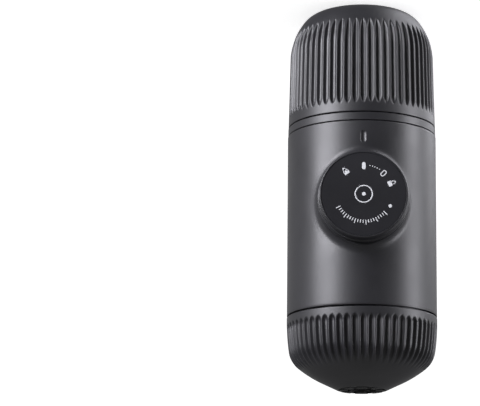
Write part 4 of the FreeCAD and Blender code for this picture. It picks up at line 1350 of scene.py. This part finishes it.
def camera_place():
    """Where the camera stands: in front, a little above, and turned upside down."""
    tilt, pan, roll, round_axis = -0.2242985761, 0.0521934404, 0.00097725, math.radians(1.2)
    ahead, right, up = Vector((0, 1, 0)), Vector((-1, 0, 0)), Vector((0, 0, -1))
    place = Vector((0, -0.93376, 0.29264))
    for angle, axis in ((tilt, "level"), (pan, "up"), (roll, "ahead")):
        about = {"level": Vector((1, 0, 0)), "up": up, "ahead": ahead}[axis]
        spin = Matrix.Rotation(angle, 3, about)
        ahead, right, up = spin @ ahead, spin @ right, spin @ up
    swing = Matrix.Rotation(round_axis, 3, "Z")
    columns = [swing @ v for v in (right, up, -ahead, place)]
    return Matrix([[v[i] for v in columns] for i in range(3)] + [[0, 0, 0, 1]])


# ------------------------------------------------------------------ inner pieces
class ESPRESSO_OT_inside(bpy.types.Operator):
    """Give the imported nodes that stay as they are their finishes"""

    bl_idname = "espresso.inside"
    bl_label = "Inner pieces"

    def execute(self, context):
        for subpart in frame["record"]["subparts"]:
            mesh = frame["nodes"][subpart["node"]].data
            mesh.materials.clear()
            mesh.materials.append(finish(subpart["material_slot"]))
        return {"FINISHED"}


# ------------------------------------------------------------------ panel and registration
GROUPS = (
    ("espresso_flutes", EspressoFlutes),
    ("espresso_barrel", EspressoBarrel),
    ("espresso_marks", EspressoMarks),
    ("espresso_finish", EspressoFinish),
    ("espresso_studio", EspressoStudio),
)
OPERATORS = (
    ESPRESSO_OT_inside,
    ESPRESSO_OT_tank,
    ESPRESSO_OT_portafilter,
    ESPRESSO_OT_barrel,
    ESPRESSO_OT_knob,
    ESPRESSO_OT_marks,
    ESPRESSO_OT_nozzle,
    ESPRESSO_OT_threads,
    ESPRESSO_OT_screen,
    ESPRESSO_OT_basket,
    ESPRESSO_OT_studio,
)


class ESPRESSO_PT_panel(bpy.types.Panel):
    """Lists the pieces, with their sizes and colours"""

    bl_label = "Espresso maker"
    bl_idname = "ESPRESSO_PT_panel"
    bl_space_type = "VIEW_3D"
    bl_region_type = "UI"
    bl_category = "Espresso maker"

    def draw(self, context):
        for operator in OPERATORS:
            self.layout.operator(operator.bl_idname)
        for name, group in GROUPS:
            box = self.layout.box()
            for setting in group.__annotations__:
                box.prop(getattr(context.scene, name), setting)


def register():
    for name, group in GROUPS:
        bpy.utils.register_class(group)
        setattr(bpy.types.Scene, name, bpy.props.PointerProperty(type=group))
    for operator in OPERATORS:
        bpy.utils.register_class(operator)
    bpy.utils.register_class(ESPRESSO_PT_panel)


def unregister():
    bpy.utils.unregister_class(ESPRESSO_PT_panel)
    for operator in reversed(OPERATORS):
        bpy.utils.unregister_class(operator)
    for name, group in reversed(GROUPS):
        delattr(bpy.types.Scene, name)
        bpy.utils.unregister_class(group)


def main():
    register()
    bpy.ops.espresso.inside()
    bpy.ops.espresso.tank()
    bpy.ops.espresso.portafilter()
    bpy.ops.espresso.barrel()
    bpy.ops.espresso.knob()
    bpy.ops.espresso.marks()
    bpy.ops.espresso.nozzle()
    bpy.ops.espresso.threads()
    bpy.ops.espresso.screen()
    bpy.ops.espresso.basket()
    bpy.ops.espresso.studio()


if __name__ == "__main__":
    main()
